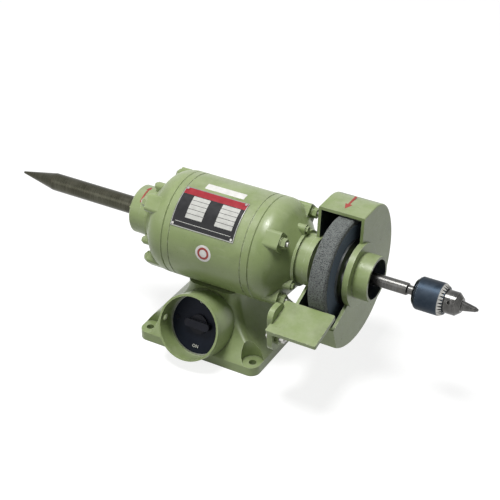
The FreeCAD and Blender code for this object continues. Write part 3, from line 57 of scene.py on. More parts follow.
# %% [markdown]
# A finish is a tree of shader nodes. It could be drawn by hand in the shader editor. Written
# as code it needs a few small helpers, so that one line adds a node, fills its sockets and
# gives back the socket that the next line needs.

# %% Helpers for node trees
def rgb(red, green, blue):
    return (red, green, blue, 1.0)


def pair(dark, light):
    return rgb(*dark), rgb(*light)


def add(tree, kind, sockets=None, **settings):
    """A new node. A socket that is given is linked, and any other value is written in."""
    node = tree.nodes.new(kind)
    for name, value in settings.items():
        setattr(node, name, value)
    for key, value in (sockets or {}).items():
        if isinstance(value, bpy.types.NodeSocket):
            tree.links.new(value, node.inputs[key])
        else:
            node.inputs[key].default_value = value
    return node


def math_node(tree, operation, first, second=0.0):
    return add(tree, "ShaderNodeMath", {0: first, 1: second}, operation=operation).outputs[0]


def product(tree, first, *others):
    for other in others:
        first = math_node(tree, "MULTIPLY", first, other)
    return first


def mix_colour(tree, factor, first, second):
    sockets = {0: factor, 6: first, 7: second}
    return add(tree, "ShaderNodeMix", sockets, data_type="RGBA").outputs[2]


print("helpers for nodes ready")

# %% [markdown]
# Paint, metal and paper are never quite even, so most finishes begin with a noise texture. A
# picture could be tiled instead, but its repeats show and it needs unwrapped faces. These
# helpers turn a noise into clouds, patches and bumps.

# %% Helpers for textures
NOISE_SPAN = (0.3, 0.7)  # most values of a noise texture lie between these


def spread(tree, value, low, high, out_low=0.0, out_high=1.0):
    sockets = {0: value, 1: low, 2: high, 3: out_low, 4: out_high}
    return add(tree, "ShaderNodeMapRange", sockets).outputs[0]


def even_out(tree, value, out_low=0.0, out_high=1.0):
    return spread(tree, value, *NOISE_SPAN, out_low, out_high)


def noise(tree, vector, scale, detail=3.0, rough=0.55):
    sockets = {"Vector": vector, "Scale": scale, "Detail": detail, "Roughness": rough}
    return add(tree, "ShaderNodeTexNoise", sockets).outputs[0]


def patches(tree, vector, scale, start, full, most=1.0, detail=3.0, rough=0.55):
    """Patches of noise that begin at one value of it and reach their most at another."""
    return spread(tree, noise(tree, vector, scale, detail, rough), start, full, 0.0, most)


def stretched(tree, vector, scale):
    return add(tree, "ShaderNodeMapping", {"Vector": vector, "Scale": scale}).outputs[0]


def bump(tree, height, strength, distance):
    sockets = {"Strength": strength, "Distance": distance, "Height": height}
    return add(tree, "ShaderNodeBump", sockets).outputs[0]


print("helpers for textures ready")

# %% [markdown]
# Some finishes depend on where a spot lies on the machine: along the shaft, beside it, above
# it, or how far from it. A painted mask would need a picture, so the place is worked out in
# the nodes instead. It is read in Object coordinates, so a pattern stays on its piece when the
# piece moves.

# %% Helpers for places
def object_place(tree):
    return add(tree, "ShaderNodeTexCoord").outputs["Object"]


def shaft_place(tree):
    """Place along the shaft, beside it and above it."""
    parts = add(tree, "ShaderNodeSeparateXYZ", {0: object_place(tree)}).outputs
    return parts["X"], parts["Y"], math_node(tree, "SUBTRACT", parts["Z"], SHAFT_Z)


def shaft_distance(tree, aside, height):
    squares = product(tree, aside, aside), product(tree, height, height)
    return math_node(tree, "SQRT", math_node(tree, "ADD", *squares))


def window(tree, value, low, high):
    above = math_node(tree, "GREATER_THAN", value, low)
    return product(tree, above, math_node(tree, "LESS_THAN", value, high))


print("helpers for places ready")

# %% [markdown]
# Four effects are shared by the finishes: pale edges of wear and painted highlight, fine grain,
# dust that settles on what faces up, and painted shade in narrow places. Each could be copied
# into every material. As a node group it is built once, and each material sets its own amounts.
# A group gives only a mask, a value or a normal, and the surface shader stays in the material.

# %% Helpers for groups
def new_group(name, inputs, outputs):
    tree = bpy.data.node_groups.new(name, "ShaderNodeTree")
    for label, value in inputs:
        socket = tree.interface.new_socket(label, in_out="INPUT", socket_type="NodeSocketFloat")
        socket.default_value = value
    for label, kind in outputs:
        tree.interface.new_socket(label, in_out="OUTPUT", socket_type=kind)
    given = tree.nodes.new("NodeGroupInput").outputs
    result = tree.nodes.new("NodeGroupOutput").inputs
    return tree, given, result


def new_mask_group(name, label, value):
    return new_group(name, [(label, value)], [("Mask", "NodeSocketFloat")])


def use_group(tree, group, **values):
    node = tree.nodes.new("ShaderNodeGroup")
    node.node_tree = group
    for label, value in values.items():
        node.inputs[label].default_value = value
    return node.outputs


print("helpers for groups ready")

# %% [markdown]
# Hands and tools rub a piece where its edges stick out, and edges also catch a bright line of
# light. The pale edges could be painted by hand. Here a bevel node gives the normal that a
# rounded edge would have, and where that differs from the face's own normal, there is an edge.
# A noise breaks the line into patches. The materials mix a paler colour in along it: wear, and
# a painted highlight.

# %% Edge wear and painted highlight
LIKE_NORMALS, UNLIKE_NORMALS = 0.995, 0.86


# Mask of the edges. The pale colour laid on it is wear and a painted highlight.
def make_edge_wear_and_highlight():
    tree, given, result = new_mask_group("edge_wear_and_highlight", "Width", 0.0012)
    rounded = add(tree, "ShaderNodeBevel", {"Radius": given["Width"]}, samples=4).outputs[0]
    plain = add(tree, "ShaderNodeNewGeometry").outputs["Normal"]
    likeness = add(tree, "ShaderNodeVectorMath", {0: rounded, 1: plain}, operation="DOT_PRODUCT")
    edge = spread(tree, likeness.outputs["Value"], LIKE_NORMALS, UNLIKE_NORMALS)
    patchy = patches(tree, object_place(tree), 160.0, start=0.42, full=0.62, detail=4.0)
    tree.links.new(product(tree, edge, patchy), result["Mask"])
    return tree


EDGE_WEAR_AND_HIGHLIGHT = make_edge_wear_and_highlight()
print("made", EDGE_WEAR_AND_HIGHLIGHT.name)

# %% [markdown]
# Grain is the fine texture of a coat of paint, a casting or a moulding. As real shape it would
# need far too many faces, so a bump node tilts the normal by a noise. The same noise is given
# out as a value, because a rough spot is also less glossy.

# %% Grain
def make_grain():
    inputs = [("Scale", 600.0), ("Height", 0.00005), ("Strength", 0.4)]
    outputs = [("Value", "NodeSocketFloat"), ("Normal", "NodeSocketVector")]
    tree, given, result = new_group("grain", inputs, outputs)
    value = noise(tree, object_place(tree), given["Scale"])
    tree.links.new(value, result["Value"])
    tree.links.new(bump(tree, value, given["Strength"], given["Height"]), result["Normal"])
    return tree


GRAIN = make_grain()
print("made", GRAIN.name)

# %% [markdown]
# Dust lies on what faces up, and narrow places lie in shade, so they are painted darker: painted
# shade. Both could be painted on each piece, but the upward part of the normal and the ambient
# occlusion node find such places on any piece.

# %% Dust and painted shade
FACING_UP = (0.35, 1.0)
OPEN_PLACE, NARROW_PLACE = 0.85, 0.45


def make_dust():
    tree, given, result = new_mask_group("dust", "Amount", 0.3)
    normal = add(tree, "ShaderNodeNewGeometry").outputs["Normal"]
    upward = add(tree, "ShaderNodeSeparateXYZ", {0: normal}).outputs["Z"]
    facing = spread(tree, upward, *FACING_UP)
    patchy = patches(tree, object_place(tree), 38.0, start=0.35, full=0.75, detail=5.0, rough=0.65)
    tree.links.new(product(tree, facing, patchy, given["Amount"]), result["Mask"])
    return tree


# Mask of narrow places, where the materials paint shade.
def make_painted_shade():
    tree, given, result = new_mask_group("painted_shade", "Reach", 0.003)
    reach = {"Distance": given["Reach"]}
    open_share = add(tree, "ShaderNodeAmbientOcclusion", reach, samples=6).outputs["AO"]
    narrow = spread(tree, open_share, OPEN_PLACE, NARROW_PLACE)
    tree.links.new(narrow, result["Mask"])
    return tree


DUST = make_dust()
PAINTED_SHADE = make_painted_shade()
print("made", DUST.name, PAINTED_SHADE.name)

# %% [markdown]
# Every material begins with one surface shader, which Blender adds by itself. What stays the
# same all over a piece is written into its sockets, and what varies is linked in: a colour, a
# roughness and a normal.

# %% Helpers for materials
def new_material(name, **sockets):
    material = bpy.data.materials.new(name)
    material.use_nodes = True
    tree = material.node_tree
    surface = tree.nodes["Principled BSDF"]
    for label, value in sockets.items():
        surface.inputs[label.replace("_", " ")].default_value = value
    return material, tree, surface


def connect(tree, surface, colour, rough, normal):
    tree.links.new(colour, surface.inputs["Base Color"])
    tree.links.new(rough, surface.inputs["Roughness"])
    tree.links.new(normal, surface.inputs["Normal"])


print("helpers for materials ready")

# %% [markdown]
# Inside the wheel guard and its collar's bore the paint is darkened: painted shade, and soot
# of what the wheel throws off. The inner faces could be picked out and given a second
# material. A mask by place leaves the mesh alone: a spot is inside when it lies within the
# hollow's width and radius, under its roof and behind the sloping front lip, or in the collar's
# bore.

# %% Inside of the guard
# The guard's inner faces, with a fraction of a millimetre to spare
HOLLOW_X = (MOTOR_X + 0.1363, MOTOR_X + 0.1957)
HOLLOW_R = (0.0365, 0.1002)
HOLLOW_ROOF = 0.0777
LIP_ASIDE, LIP_HEIGHT, LIP_DEPTH = -0.950, -0.311, 0.0809
COLLAR_X = MOTOR_X + 0.1955
COLLAR_BORE_R = 0.0282


def guard_inside(tree):
    """Mask of the guard's hollow, behind its sloping front lip, and of its collar's bore."""
    along, aside, height = shaft_place(tree)
    radius = shaft_distance(tree, aside, height)
    lip = math_node(tree, "ADD", product(tree, aside, LIP_ASIDE),
                    product(tree, height, LIP_HEIGHT))
    hollow = product(tree, window(tree, along, *HOLLOW_X), window(tree, radius, *HOLLOW_R),
                     math_node(tree, "LESS_THAN", height, HOLLOW_ROOF),
                     math_node(tree, "LESS_THAN", lip, LIP_DEPTH))
    bore = product(tree, math_node(tree, "GREATER_THAN", along, COLLAR_X),
                   math_node(tree, "LESS_THAN", radius, COLLAR_BORE_R))
    return math_node(tree, "MAXIMUM", hollow, bore)


print("guard hollow", HOLLOW_X)

# %% [markdown]
# The castings and the sheet parts carry one sage green enamel. A single colour would look
# like plastic. The real coat lies a little unevenly, keeps some of the sand casting's
# texture, rubs pale on edges and gathers dust, so clouds, stains, scuffs, specks and dust are
# laid over it one after the other, then painted shade in narrow places and pale edges that are
# wear and painted highlight. Inside the guard its coat is darkened as well: painted shade and
# soot.

# %% Green enamel
ENAMEL = pair((0.212, 0.278, 0.104), (0.272, 0.342, 0.144))
ENAMEL_STAIN = rgb(0.125, 0.158, 0.060)
ENAMEL_SCUFF = rgb(0.34, 0.385, 0.235)
ENAMEL_SPECK = rgb(0.15, 0.19, 0.08)
# Pale edge colour: wear and a painted highlight
ENAMEL_WORN_AND_HIGHLIGHT = rgb(0.50, 0.55, 0.38)
PALE_DUST = rgb(0.48, 0.49, 0.40)
# Painted shade for narrow places
PAINTED_SHADE_COLOUR = rgb(0.055, 0.068, 0.030)
# Painted shade and soot inside the guard
SOOT_AND_SHADE = rgb(0.020, 0.026, 0.036)
SCUFF_STRETCH = (28.0, 130.0, 130.0)
PAINTED_SHADE_SHARE, WEAR_AND_HIGHLIGHT_SHARE = 0.7, 0.8
ENAMEL_ROUGH = (0.27, 0.41)
SMEAR_SPAN, SMEAR_SHARE = (0.3, 0.6), (0.78, 1.0)


def make_enamel(name, soot_and_shade_mask=None):
    material, tree, surface = new_material(name, Metallic=0.0, Specular_IOR_Level=0.5)
    place = object_place(tree)
    cloud = even_out(tree, noise(tree, place, 14.0, detail=4.0))
    colour = mix_colour(tree, cloud, *ENAMEL)
    stain = patches(tree, place, 24.0, start=0.50, full=0.74, most=0.5, detail=6.0, rough=0.66)
    colour = mix_colour(tree, stain, colour, ENAMEL_STAIN)
    scuff = patches(tree, stretched(tree, place, SCUFF_STRETCH), 1.0, start=0.58, full=0.76,
                    most=0.4, detail=6.0, rough=0.7)
    colour = mix_colour(tree, scuff, colour, ENAMEL_SCUFF)
    speck = patches(tree, place, 420.0, start=0.62, full=0.8, most=0.35, detail=2.0)
    colour = mix_colour(tree, speck, colour, ENAMEL_SPECK)
    dust = use_group(tree, DUST, Amount=0.32)["Mask"]
    colour = mix_colour(tree, dust, colour, PALE_DUST)
    # Narrow places darkened: painted shade.
    painted_shade = product(tree, use_group(tree, PAINTED_SHADE, Reach=0.0035)["Mask"], PAINTED_SHADE_SHARE)
    colour = mix_colour(tree, painted_shade, colour, PAINTED_SHADE_COLOUR)
    # Pale edges: wear and a painted highlight.
    worn_and_highlight = product(tree, use_group(tree, EDGE_WEAR_AND_HIGHLIGHT, Width=0.0014)["Mask"], WEAR_AND_HIGHLIGHT_SHARE)
    colour = mix_colour(tree, worn_and_highlight, colour, ENAMEL_WORN_AND_HIGHLIGHT)
    # Inside the guard: painted shade and soot.
    if soot_and_shade_mask:
        smear = noise(tree, place, 60.0, detail=5.0, rough=0.65)
        smear = spread(tree, smear, *SMEAR_SPAN, *SMEAR_SHARE)
        colour = mix_colour(tree, product(tree, soot_and_shade_mask(tree), smear), colour, SOOT_AND_SHADE)
    grain = use_group(tree, GRAIN, Scale=330.0, Height=0.00018, Strength=0.5)
    rough = even_out(tree, grain["Value"], *ENAMEL_ROUGH)
    connect(tree, surface, colour, rough, grain["Normal"])
    return material


GREEN = make_enamel("green_enamel")
GUARD_GREEN = make_enamel("guard_enamel", guard_inside)
print("made", GREEN.name, GUARD_GREEN.name)

# %% [markdown]
# The machine has turned, plated, ground, cast and wound metal. They differ in tone and in the
# marks of their making, so one function makes them all. Turned steel shows fine rings across
# the shaft, because the tool went round it: the noise is squeezed along X, so that every ring
# is a narrow band.

# %% How a metal is made
RUBBED_METAL = rgb(0.58, 0.57, 0.54)
RING_SHARE, CLOUD_SHARE = 0.6, 0.4
EDGE_SHINE = 0.6
ROUGH_BELOW, ROUGH_ABOVE = 0.06, 0.08
TONE_SPAN = (0.35, 0.65)


def make_metal(name, tones, rough, marks, stain=None, stain_amount=0.0, change=None):
    """A metal of two tones; change gives a place along X and the two tones beyond it."""
    material, tree, surface = new_material(name, Metallic=1.0)
    place = object_place(tree)
    rings = noise(tree, stretched(tree, place, marks), 1.0, detail=4.0)
    cloud = noise(tree, place, 55.0, detail=4.0)
    tone = math_node(tree, "ADD", product(tree, rings, RING_SHARE),
                     product(tree, cloud, CLOUD_SHARE))
    share = spread(tree, tone, *TONE_SPAN)
    colour = mix_colour(tree, share, *tones)
    if change:
        start, tones_beyond = change
        along = add(tree, "ShaderNodeSeparateXYZ", {0: place}).outputs["X"]
        beyond = math_node(tree, "GREATER_THAN", along, start)
        colour = mix_colour(tree, beyond, colour, mix_colour(tree, share, *tones_beyond))
    if stain:
        spots = patches(tree, place, 90.0, start=0.5, full=0.75, most=stain_amount,
                        detail=5.0, rough=0.7)
        colour = mix_colour(tree, spots, colour, stain)
    shine = product(tree, use_group(tree, EDGE_WEAR_AND_HIGHLIGHT, Width=0.0007)["Mask"], EDGE_SHINE)
    colour = mix_colour(tree, shine, colour, RUBBED_METAL)
    connect(tree, surface, colour,
            even_out(tree, tone, rough - ROUGH_BELOW, rough + ROUGH_ABOVE),
            bump(tree, rings, strength=0.25, distance=0.00005))
    return material


print("helper for metals ready")

# %% [markdown]
# Each metal is two tones, a roughness and the scale of its marks. The spindle is dark and
# stained, and paler beyond the wheel. The chuck's body is blued behind and ground at its
# nose. Pictures of real metal could be used, but they would need unwrapped faces.

# %% The metals
RINGS = (2600.0, 40.0, 40.0)
EVEN = (300.0, 300.0, 300.0)
SHEETS = (4000.0, 60.0, 60.0)
WIRES = (900.0, 900.0, 900.0)
GROUND = pair((0.036, 0.036, 0.035), (0.148, 0.146, 0.140))
BLUED = pair((0.018, 0.026, 0.037), (0.038, 0.050, 0.066))
SPINDLE_TONES = pair((0.040, 0.040, 0.028), (0.096, 0.095, 0.072))
SHAFT_END_TONES = pair((0.065, 0.065, 0.063), (0.152, 0.151, 0.145))
SHAFT_END_X = 0.2
CHUCK_BLUED_END = MOTOR_X + 0.289

SPINDLE = make_metal("spindle_steel", SPINDLE_TONES, 0.28, RINGS, rgb(0.075, 0.060, 0.040), 0.35,
                     (SHAFT_END_X, SHAFT_END_TONES))
BRIGHT = make_metal("plated_steel", pair((0.30, 0.30, 0.285), (0.46, 0.455, 0.43)), 0.32, EVEN,
                    rgb(0.20, 0.17, 0.13), 0.3)
BEARING = make_metal("bearing_steel", pair((0.60, 0.60, 0.60), (0.72, 0.72, 0.72)), 0.16, EVEN)
CHUCK_BRIGHT = make_metal("chuck_ground_steel", GROUND, 0.17, RINGS)
CHUCK_BODY = make_metal("chuck_body_steel", BLUED, 0.2, RINGS, change=(CHUCK_BLUED_END, GROUND))
# The flanges' tones are raised so that a light arc shows in the guard's shade: painted highlight.
FLANGE_PAINTED_HIGHLIGHT = make_metal("flange_steel_painted_highlight", pair((0.17, 0.18, 0.175), (0.36, 0.37, 0.355)), 0.3, RINGS)
SHEET_STEEL = make_metal("electrical_sheet", pair((0.22, 0.22, 0.23), (0.34, 0.34, 0.35)),
                         0.4, SHEETS)
COPPER = make_metal("varnished_copper", pair((0.42, 0.16, 0.06), (0.66, 0.30, 0.13)),
                    0.32, WIRES)
ALUMINIUM = make_metal("cast_aluminium", pair((0.58, 0.58, 0.58), (0.74, 0.74, 0.73)),
                       0.42, EVEN)
BEZEL = make_metal("spun_aluminium", pair((0.34, 0.35, 0.33), (0.48, 0.48, 0.46)), 0.3, EVEN)
metals = (SPINDLE, BRIGHT, BEARING, CHUCK_BRIGHT, CHUCK_BODY, FLANGE_PAINTED_HIGHLIGHT, SHEET_STEEL, COPPER,
          ALUMINIUM, BEZEL)
print("metals", [metal.name for metal in metals])

# %% [markdown]
# The chuck's sleeve is blued steel, and its bevel teeth are rubbed bright by the key. Two
# materials on one mesh would need the faces picked out. A mask by place does it without
# touching the mesh: a spot is on the land of a tooth when it lies on the cone of the bevel,
# and the gaps between the teeth lie below that cone and stay blue.

# %% Chuck sleeve
SLEEVE_R = 0.0225
BEVEL_LENGTH = 0.006
BEVEL_SLOPE = 0.55
BEVEL_BLEND = (-0.0002, 0.0008)
LAND_BLEND = (-0.0006, -0.0002)
RUB_SPAN, RUB_SHARE = (0.25, 0.5), (0.55, 1.0)
SLEEVE_ROUGH = (0.42, 0.56)
RUBBED_TEETH = rgb(0.45, 0.445, 0.42)


def make_sleeve():
    material, tree, surface = new_material("blued_sleeve", Metallic=1.0)
    place = object_place(tree)
    bevel_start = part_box("chuck_sleeve")[1].x - BEVEL_LENGTH
    along, aside, height = shaft_place(tree)
    radius = shaft_distance(tree, aside, height)
    cloud = noise(tree, place, 70.0, detail=4.0)
    colour = mix_colour(tree, even_out(tree, cloud), *BLUED)
    land = math_node(tree, "ADD", radius, product(tree, along, BEVEL_SLOPE))
    land_level = SLEEVE_R + BEVEL_SLOPE * bevel_start
    on_bevel = spread(tree, along, *(bevel_start + step for step in BEVEL_BLEND))
    on_land = spread(tree, land, *(land_level + step for step in LAND_BLEND))
    patchy = spread(tree, noise(tree, place, 500.0), *RUB_SPAN, *RUB_SHARE)
    # Bright edges: wear and a painted highlight.
    wear_and_highlight = use_group(tree, EDGE_WEAR_AND_HIGHLIGHT, Width=0.0009)["Mask"]
    bright = math_node(tree, "MAXIMUM", product(tree, on_bevel, on_land, patchy), wear_and_highlight)
    colour = mix_colour(tree, bright, colour, RUBBED_TEETH)
    grain = use_group(tree, GRAIN, Scale=500.0, Height=0.00006, Strength=0.3)
    connect(tree, surface, colour, even_out(tree, cloud, *SLEEVE_ROUGH), grain["Normal"])
    return material


SLEEVE = make_sleeve()
print("made", SLEEVE.name)

# %% [markdown]
# The wheel is bonded grit: pale and dark grains of under a millimetre, with pores between
# them. Modelled grains would be millions of faces, so each cell of a Voronoi texture stands
# for one grain, and a noise cuts the pores, which are painted dark: painted shade in the holes.
# The paper discs on the wheel's sides are blue grey, and their fibres are a noise that is
# stretched one way.

# %% Wheel and paper
GRIT_TONES = pair((0.068, 0.077, 0.074), (0.200, 0.218, 0.208))
GRIT_DULLED = rgb(0.285, 0.306, 0.292)
GRIT_PORE_SHADE = rgb(0.03, 0.032, 0.034)
GRIT_ROUGH = (0.7, 0.95)
GRAIN_HEIGHT = 0.5
PAPER_TONES = pair((0.050, 0.072, 0.098), (0.090, 0.122, 0.158))
PAPER_ROUGH = (0.75, 0.9)
FIBRES = (400.0, 900.0, 2200.0)


def make_grit():
    material, tree, surface = new_material("bonded_grit", Metallic=0.0)
    place = object_place(tree)
    cells = add(tree, "ShaderNodeTexVoronoi", {"Vector": place, "Scale": 1300.0})
    shade = add(tree, "ShaderNodeSeparateColor", {0: cells.outputs["Color"]}).outputs[0]
    colour = mix_colour(tree, shade, *GRIT_TONES)
    dulled = patches(tree, place, 120.0, start=0.3, full=0.72, most=0.45, detail=5.0, rough=0.7)
    colour = mix_colour(tree, dulled, colour, GRIT_DULLED)
    solid = patches(tree, place, 700.0, start=0.36, full=0.5)
    # Pores painted dark: painted shade in the holes.
    colour = mix_colour(tree, solid, GRIT_PORE_SHADE, colour)
    height = math_node(tree, "ADD", product(tree, shade, GRAIN_HEIGHT), solid)
    connect(tree, surface, colour, spread(tree, shade, 0.0, 1.0, *GRIT_ROUGH),
            bump(tree, height, strength=0.9, distance=0.0005))
    return material


def make_paper():
    material, tree, surface = new_material("blotter_paper", Metallic=0.0)
    fibre = noise(tree, stretched(tree, object_place(tree), FIBRES), 1.0, detail=4.0)
    colour = mix_colour(tree, even_out(tree, fibre), *PAPER_TONES)
    connect(tree, surface, colour, even_out(tree, fibre, *PAPER_ROUGH),
            bump(tree, fibre, strength=0.4, distance=0.0001))
    return material


GRIT = make_grit()
PAPER = make_paper()
print("made", GRIT.name, PAPER.name)

# %% [markdown]
# The switch is black moulded plastic, and the cover under the base is dark painted sheet.
# Both are nearly even surfaces, so one function gives them a fine texture, a little dust and
# paler rubbing on their edges. A low specular level keeps them black beside white walls.

# %% Plastics and dark paint
DARK_DUST = rgb(0.22, 0.22, 0.21)
RUBBED_PLASTIC = rgb(0.12, 0.125, 0.14)
PLASTIC_WEAR_SHARE = 0.5
PLASTIC_ROUGH_BELOW, PLASTIC_ROUGH_ABOVE = 0.05, 0.1


def make_plastic(name, tones, rough):
    material, tree, surface = new_material(name, Metallic=0.0, Specular_IOR_Level=0.15)
    cloud = even_out(tree, noise(tree, object_place(tree), 60.0, detail=4.0))
    colour = mix_colour(tree, cloud, *tones)
    dust = use_group(tree, DUST, Amount=0.12)["Mask"]
    colour = mix_colour(tree, dust, colour, DARK_DUST)
    # Paler edges: wear and a painted highlight.
    worn_and_highlight = product(tree, use_group(tree, EDGE_WEAR_AND_HIGHLIGHT, Width=0.0006)["Mask"], PLASTIC_WEAR_SHARE)
    colour = mix_colour(tree, worn_and_highlight, colour, RUBBED_PLASTIC)
    grain = use_group(tree, GRAIN, Scale=1500.0, Height=0.00003, Strength=0.35)
    rough = even_out(tree, grain["Value"], rough - PLASTIC_ROUGH_BELOW,
                     rough + PLASTIC_ROUGH_ABOVE)
    connect(tree, surface, colour, rough, grain["Normal"])
    return material


BLACK = make_plastic("black_moulding", pair((0.004, 0.006, 0.014), (0.008, 0.011, 0.022)), 0.45)
KNOB = make_plastic("black_knob", pair((0.008, 0.009, 0.015), (0.015, 0.016, 0.024)), 0.32)
DARK_PAINT = make_plastic("dark_sheet_paint", pair((0.03, 0.03, 0.03), (0.05, 0.05, 0.05)), 0.5)
print("made", BLACK.name, KNOB.name, DARK_PAINT.name)

# %% [markdown]
# The rating plate is printed on thin aluminium: a red band along its top, two columns of
# blank white fields on black, and a thin rule below them. A picture could carry the print.
# Here it is cut out of the plate's own surface by comparing places, which stays sharp at any
# distance. Across is measured along X, and up by the angle round the barrel, both from 0 to 1.

# %% Rating plate print
PLATE_X = (-0.0455, 0.054)
PLATE_ANGLE = (105.0, 151.5)
# Each area: left, right, low and high edge
BLACK_AREA = (0.012, 0.988, 0.022, 0.80)
RED_AREA = (0.012, 0.988, 0.80, 0.978)
FIELDS_LOW, FIELDS_HIGH = 0.235, 0.785
LEFT_FIELDS = (0.19, 0.455, FIELDS_LOW, FIELDS_HIGH)
RIGHT_FIELDS = (0.655, 0.93, FIELDS_LOW, FIELDS_HIGH)
RULE_AREA = (0.06, 0.94, 0.12, 0.132)
ROWS_IN_HEIGHT = 9.09
ROW_GAP = 0.1
BARE_METAL = rgb(0.27, 0.275, 0.255)
INK = pair((0.007, 0.007, 0.008), (0.016, 0.016, 0.018))
BAND = pair((0.27, 0.015, 0.024), (0.36, 0.028, 0.040))
FIELD = pair((0.47, 0.47, 0.44), (0.60, 0.60, 0.565))
PRINT_ROUGH = (0.32, 0.46)


def make_rating_plate():
    material, tree, surface = new_material("printed_plate", Metallic=0.0, Specular_IOR_Level=0.25)
    along, aside, height = shaft_place(tree)
    across = spread(tree, along, *PLATE_X)
    angle = math_node(tree, "ARCTAN2", height, aside)
    up = spread(tree, angle, math.radians(PLATE_ANGLE[1]), math.radians(PLATE_ANGLE[0]))

    def area(left, right, low, high):
        return product(tree, window(tree, across, left, right), window(tree, up, low, high))

    black, red = area(*BLACK_AREA), area(*RED_AREA)
    row_place = product(tree, math_node(tree, "SUBTRACT", up, FIELDS_LOW), ROWS_IN_HEIGHT)
    in_row = math_node(tree, "GREATER_THAN", math_node(tree, "FRACT", row_place), ROW_GAP)
    columns = math_node(tree, "MAXIMUM", area(*LEFT_FIELDS), area(*RIGHT_FIELDS))
    white = math_node(tree, "MAXIMUM", product(tree, columns, in_row), area(*RULE_AREA))
    fade = patches(tree, object_place(tree), 130.0, start=0.25, full=0.75, detail=4.0)
    colour = mix_colour(tree, black, BARE_METAL, mix_colour(tree, fade, *INK))
    colour = mix_colour(tree, red, colour, mix_colour(tree, fade, *BAND))
    colour = mix_colour(tree, white, colour, mix_colour(tree, fade, *FIELD))
    printed = math_node(tree, "MAXIMUM", black, red)
    tree.links.new(math_node(tree, "SUBTRACT", 1.0, printed), surface.inputs["Metallic"])
    connect(tree, surface, colour, spread(tree, fade, 0.0, 1.0, *PRINT_ROUGH),
            bump(tree, printed, strength=0.5, distance=0.00012))
    return material


PLATE = make_rating_plate()
print("made", PLATE.name)

# %% [markdown]
# Every CAD node takes one of these finishes. The tie rods' nuts and the covers' screws were
# painted over with the castings, and the other fasteners are bare or black. The mesh stays as
# it is. Only its shading changes: faces that meet at a small angle are smoothed into one.

# %% Dress the CAD nodes
SMOOTH_ANGLE = math.radians(28)
FINISH = {
    GREEN: ["base_pedestal", "motor_barrel", "left_end_shield", "right_end_shield",
            "left_bearing_cap", "left_bearing_cover", "right_bearing_cover", "tool_rest",
            "tie_rod_nuts", "tie_rod_washers", "bearing_cover_screws", "bearing_cap_screws"],
    GUARD_GREEN: ["wheel_guard"],
    SPINDLE: ["main_shaft"],
    BRIGHT: ["pad_bolts", "tie_rods", "bottom_cover_screws", "capacitor_strap",
             "rating_plate_rivets", "wheel_nut", "guard_screws", "tool_rest_bolt",
             "tool_rest_nut"],
    BEARING: ["left_bearing_outer_race", "left_bearing_inner_race", "left_bearing_balls",
              "right_bearing_outer_race", "right_bearing_inner_race", "right_bearing_balls"],
    CHUCK_BODY: ["chuck_body"],
    FLANGE_PAINTED_HIGHLIGHT: ["inner_flange", "outer_flange"],
    CHUCK_BRIGHT: ["chuck_nut", "chuck_jaw_1", "chuck_jaw_2", "chuck_jaw_3"],
    SLEEVE: ["chuck_sleeve"],
    SHEET_STEEL: ["stator_core", "rotor_core"],
    COPPER: ["stator_winding"],
    ALUMINIUM: ["rotor_end_rings", "run_capacitor"],
    BEZEL: ["switch_bezel"],
    GRIT: ["grinding_wheel"],
    PAPER: ["wheel_blotters"],
    BLACK: ["switch_plate", "switch_body"],
    KNOB: ["switch_knob", "switch_screws"],
    DARK_PAINT: ["bottom_cover"],
    PLATE: ["rating_plate"],
}


def select_only(*items):
    """Select these alone; the last one becomes the active object."""
    bpy.ops.object.select_all(action="DESELECT")
    for item in items:
        item.select_set(True)
        bpy.context.view_layer.objects.active = item


dressed = 0
for material, names in FINISH.items():
    for name in names:
        nodes[name].data.materials.clear()
        nodes[name].data.materials.append(material)
        dressed += 1
for item in nodes.values():
    select_only(item)
    bpy.ops.object.shade_smooth_by_angle(angle=SMOOTH_ANGLE)
print("dressed", dressed, "of", len(nodes))

# %% [markdown]
# The marks are thin films of paper and paint. They could be colours in the enamel, but a film
# with its own edge and finish looks stuck on, as the real one does. Each starts as a grid, is
# bent to the surface that carries it, and is given a little thickness by a solidify modifier
# that is then applied.

# %% Films
FILM_THICKNESS = 0.00018
FILM_LIFT = 0.0001
MERGE_DISTANCE = 0.00002


def grid_piece(name, columns, rows):
    select_only()
    bpy.ops.mesh.primitive_grid_add(x_subdivisions=columns, y_subdivisions=rows, size=1)
    piece = bpy.context.object
    piece.name = name
    return piece


def thicken(piece):
    select_only(piece)
    shell = piece.modifiers.new("thickness", "SOLIDIFY")
    shell.thickness = FILM_THICKNESS
    shell.offset = 1.0
    bpy.ops.object.modifier_apply(modifier=shell.name)
    bpy.ops.object.mode_set(mode="EDIT")
    bpy.ops.mesh.select_all(action="SELECT")
    bpy.ops.mesh.remove_doubles(threshold=MERGE_DISTANCE)
    bpy.ops.mesh.normals_make_consistent(inside=False)
    bpy.ops.object.mode_set(mode="OBJECT")


def hand_over(piece, material):
    piece.data.materials.append(material)
    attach(piece, "frame")
    return piece


def finish_film(piece, material):
    thicken(piece)
    return hand_over(piece, material)


print("helpers for films ready")

# %% [markdown]
# Paper and paint marks are matt, with faint clouds and a fine grain. They could share the
# enamel, but they have neither its gloss nor its wear, so a plainer material does for both.

# %% Film finishes
FILM_ROUGH_BELOW, FILM_ROUGH_ABOVE = 0.06, 0.1


def make_film_material(name, tones, rough):
    material, tree, surface = new_material(name, Metallic=0.0)
    cloud = patches(tree, object_place(tree), 110.0, start=0.28, full=0.72, detail=5.0)
    colour = mix_colour(tree, cloud, *tones)
    grain = use_group(tree, GRAIN, Scale=900.0, Height=0.00003, Strength=0.3)
    rough = even_out(tree, grain["Value"], rough - FILM_ROUGH_BELOW, rough + FILM_ROUGH_ABOVE)
    connect(tree, surface, colour, rough, grain["Normal"])
    return material


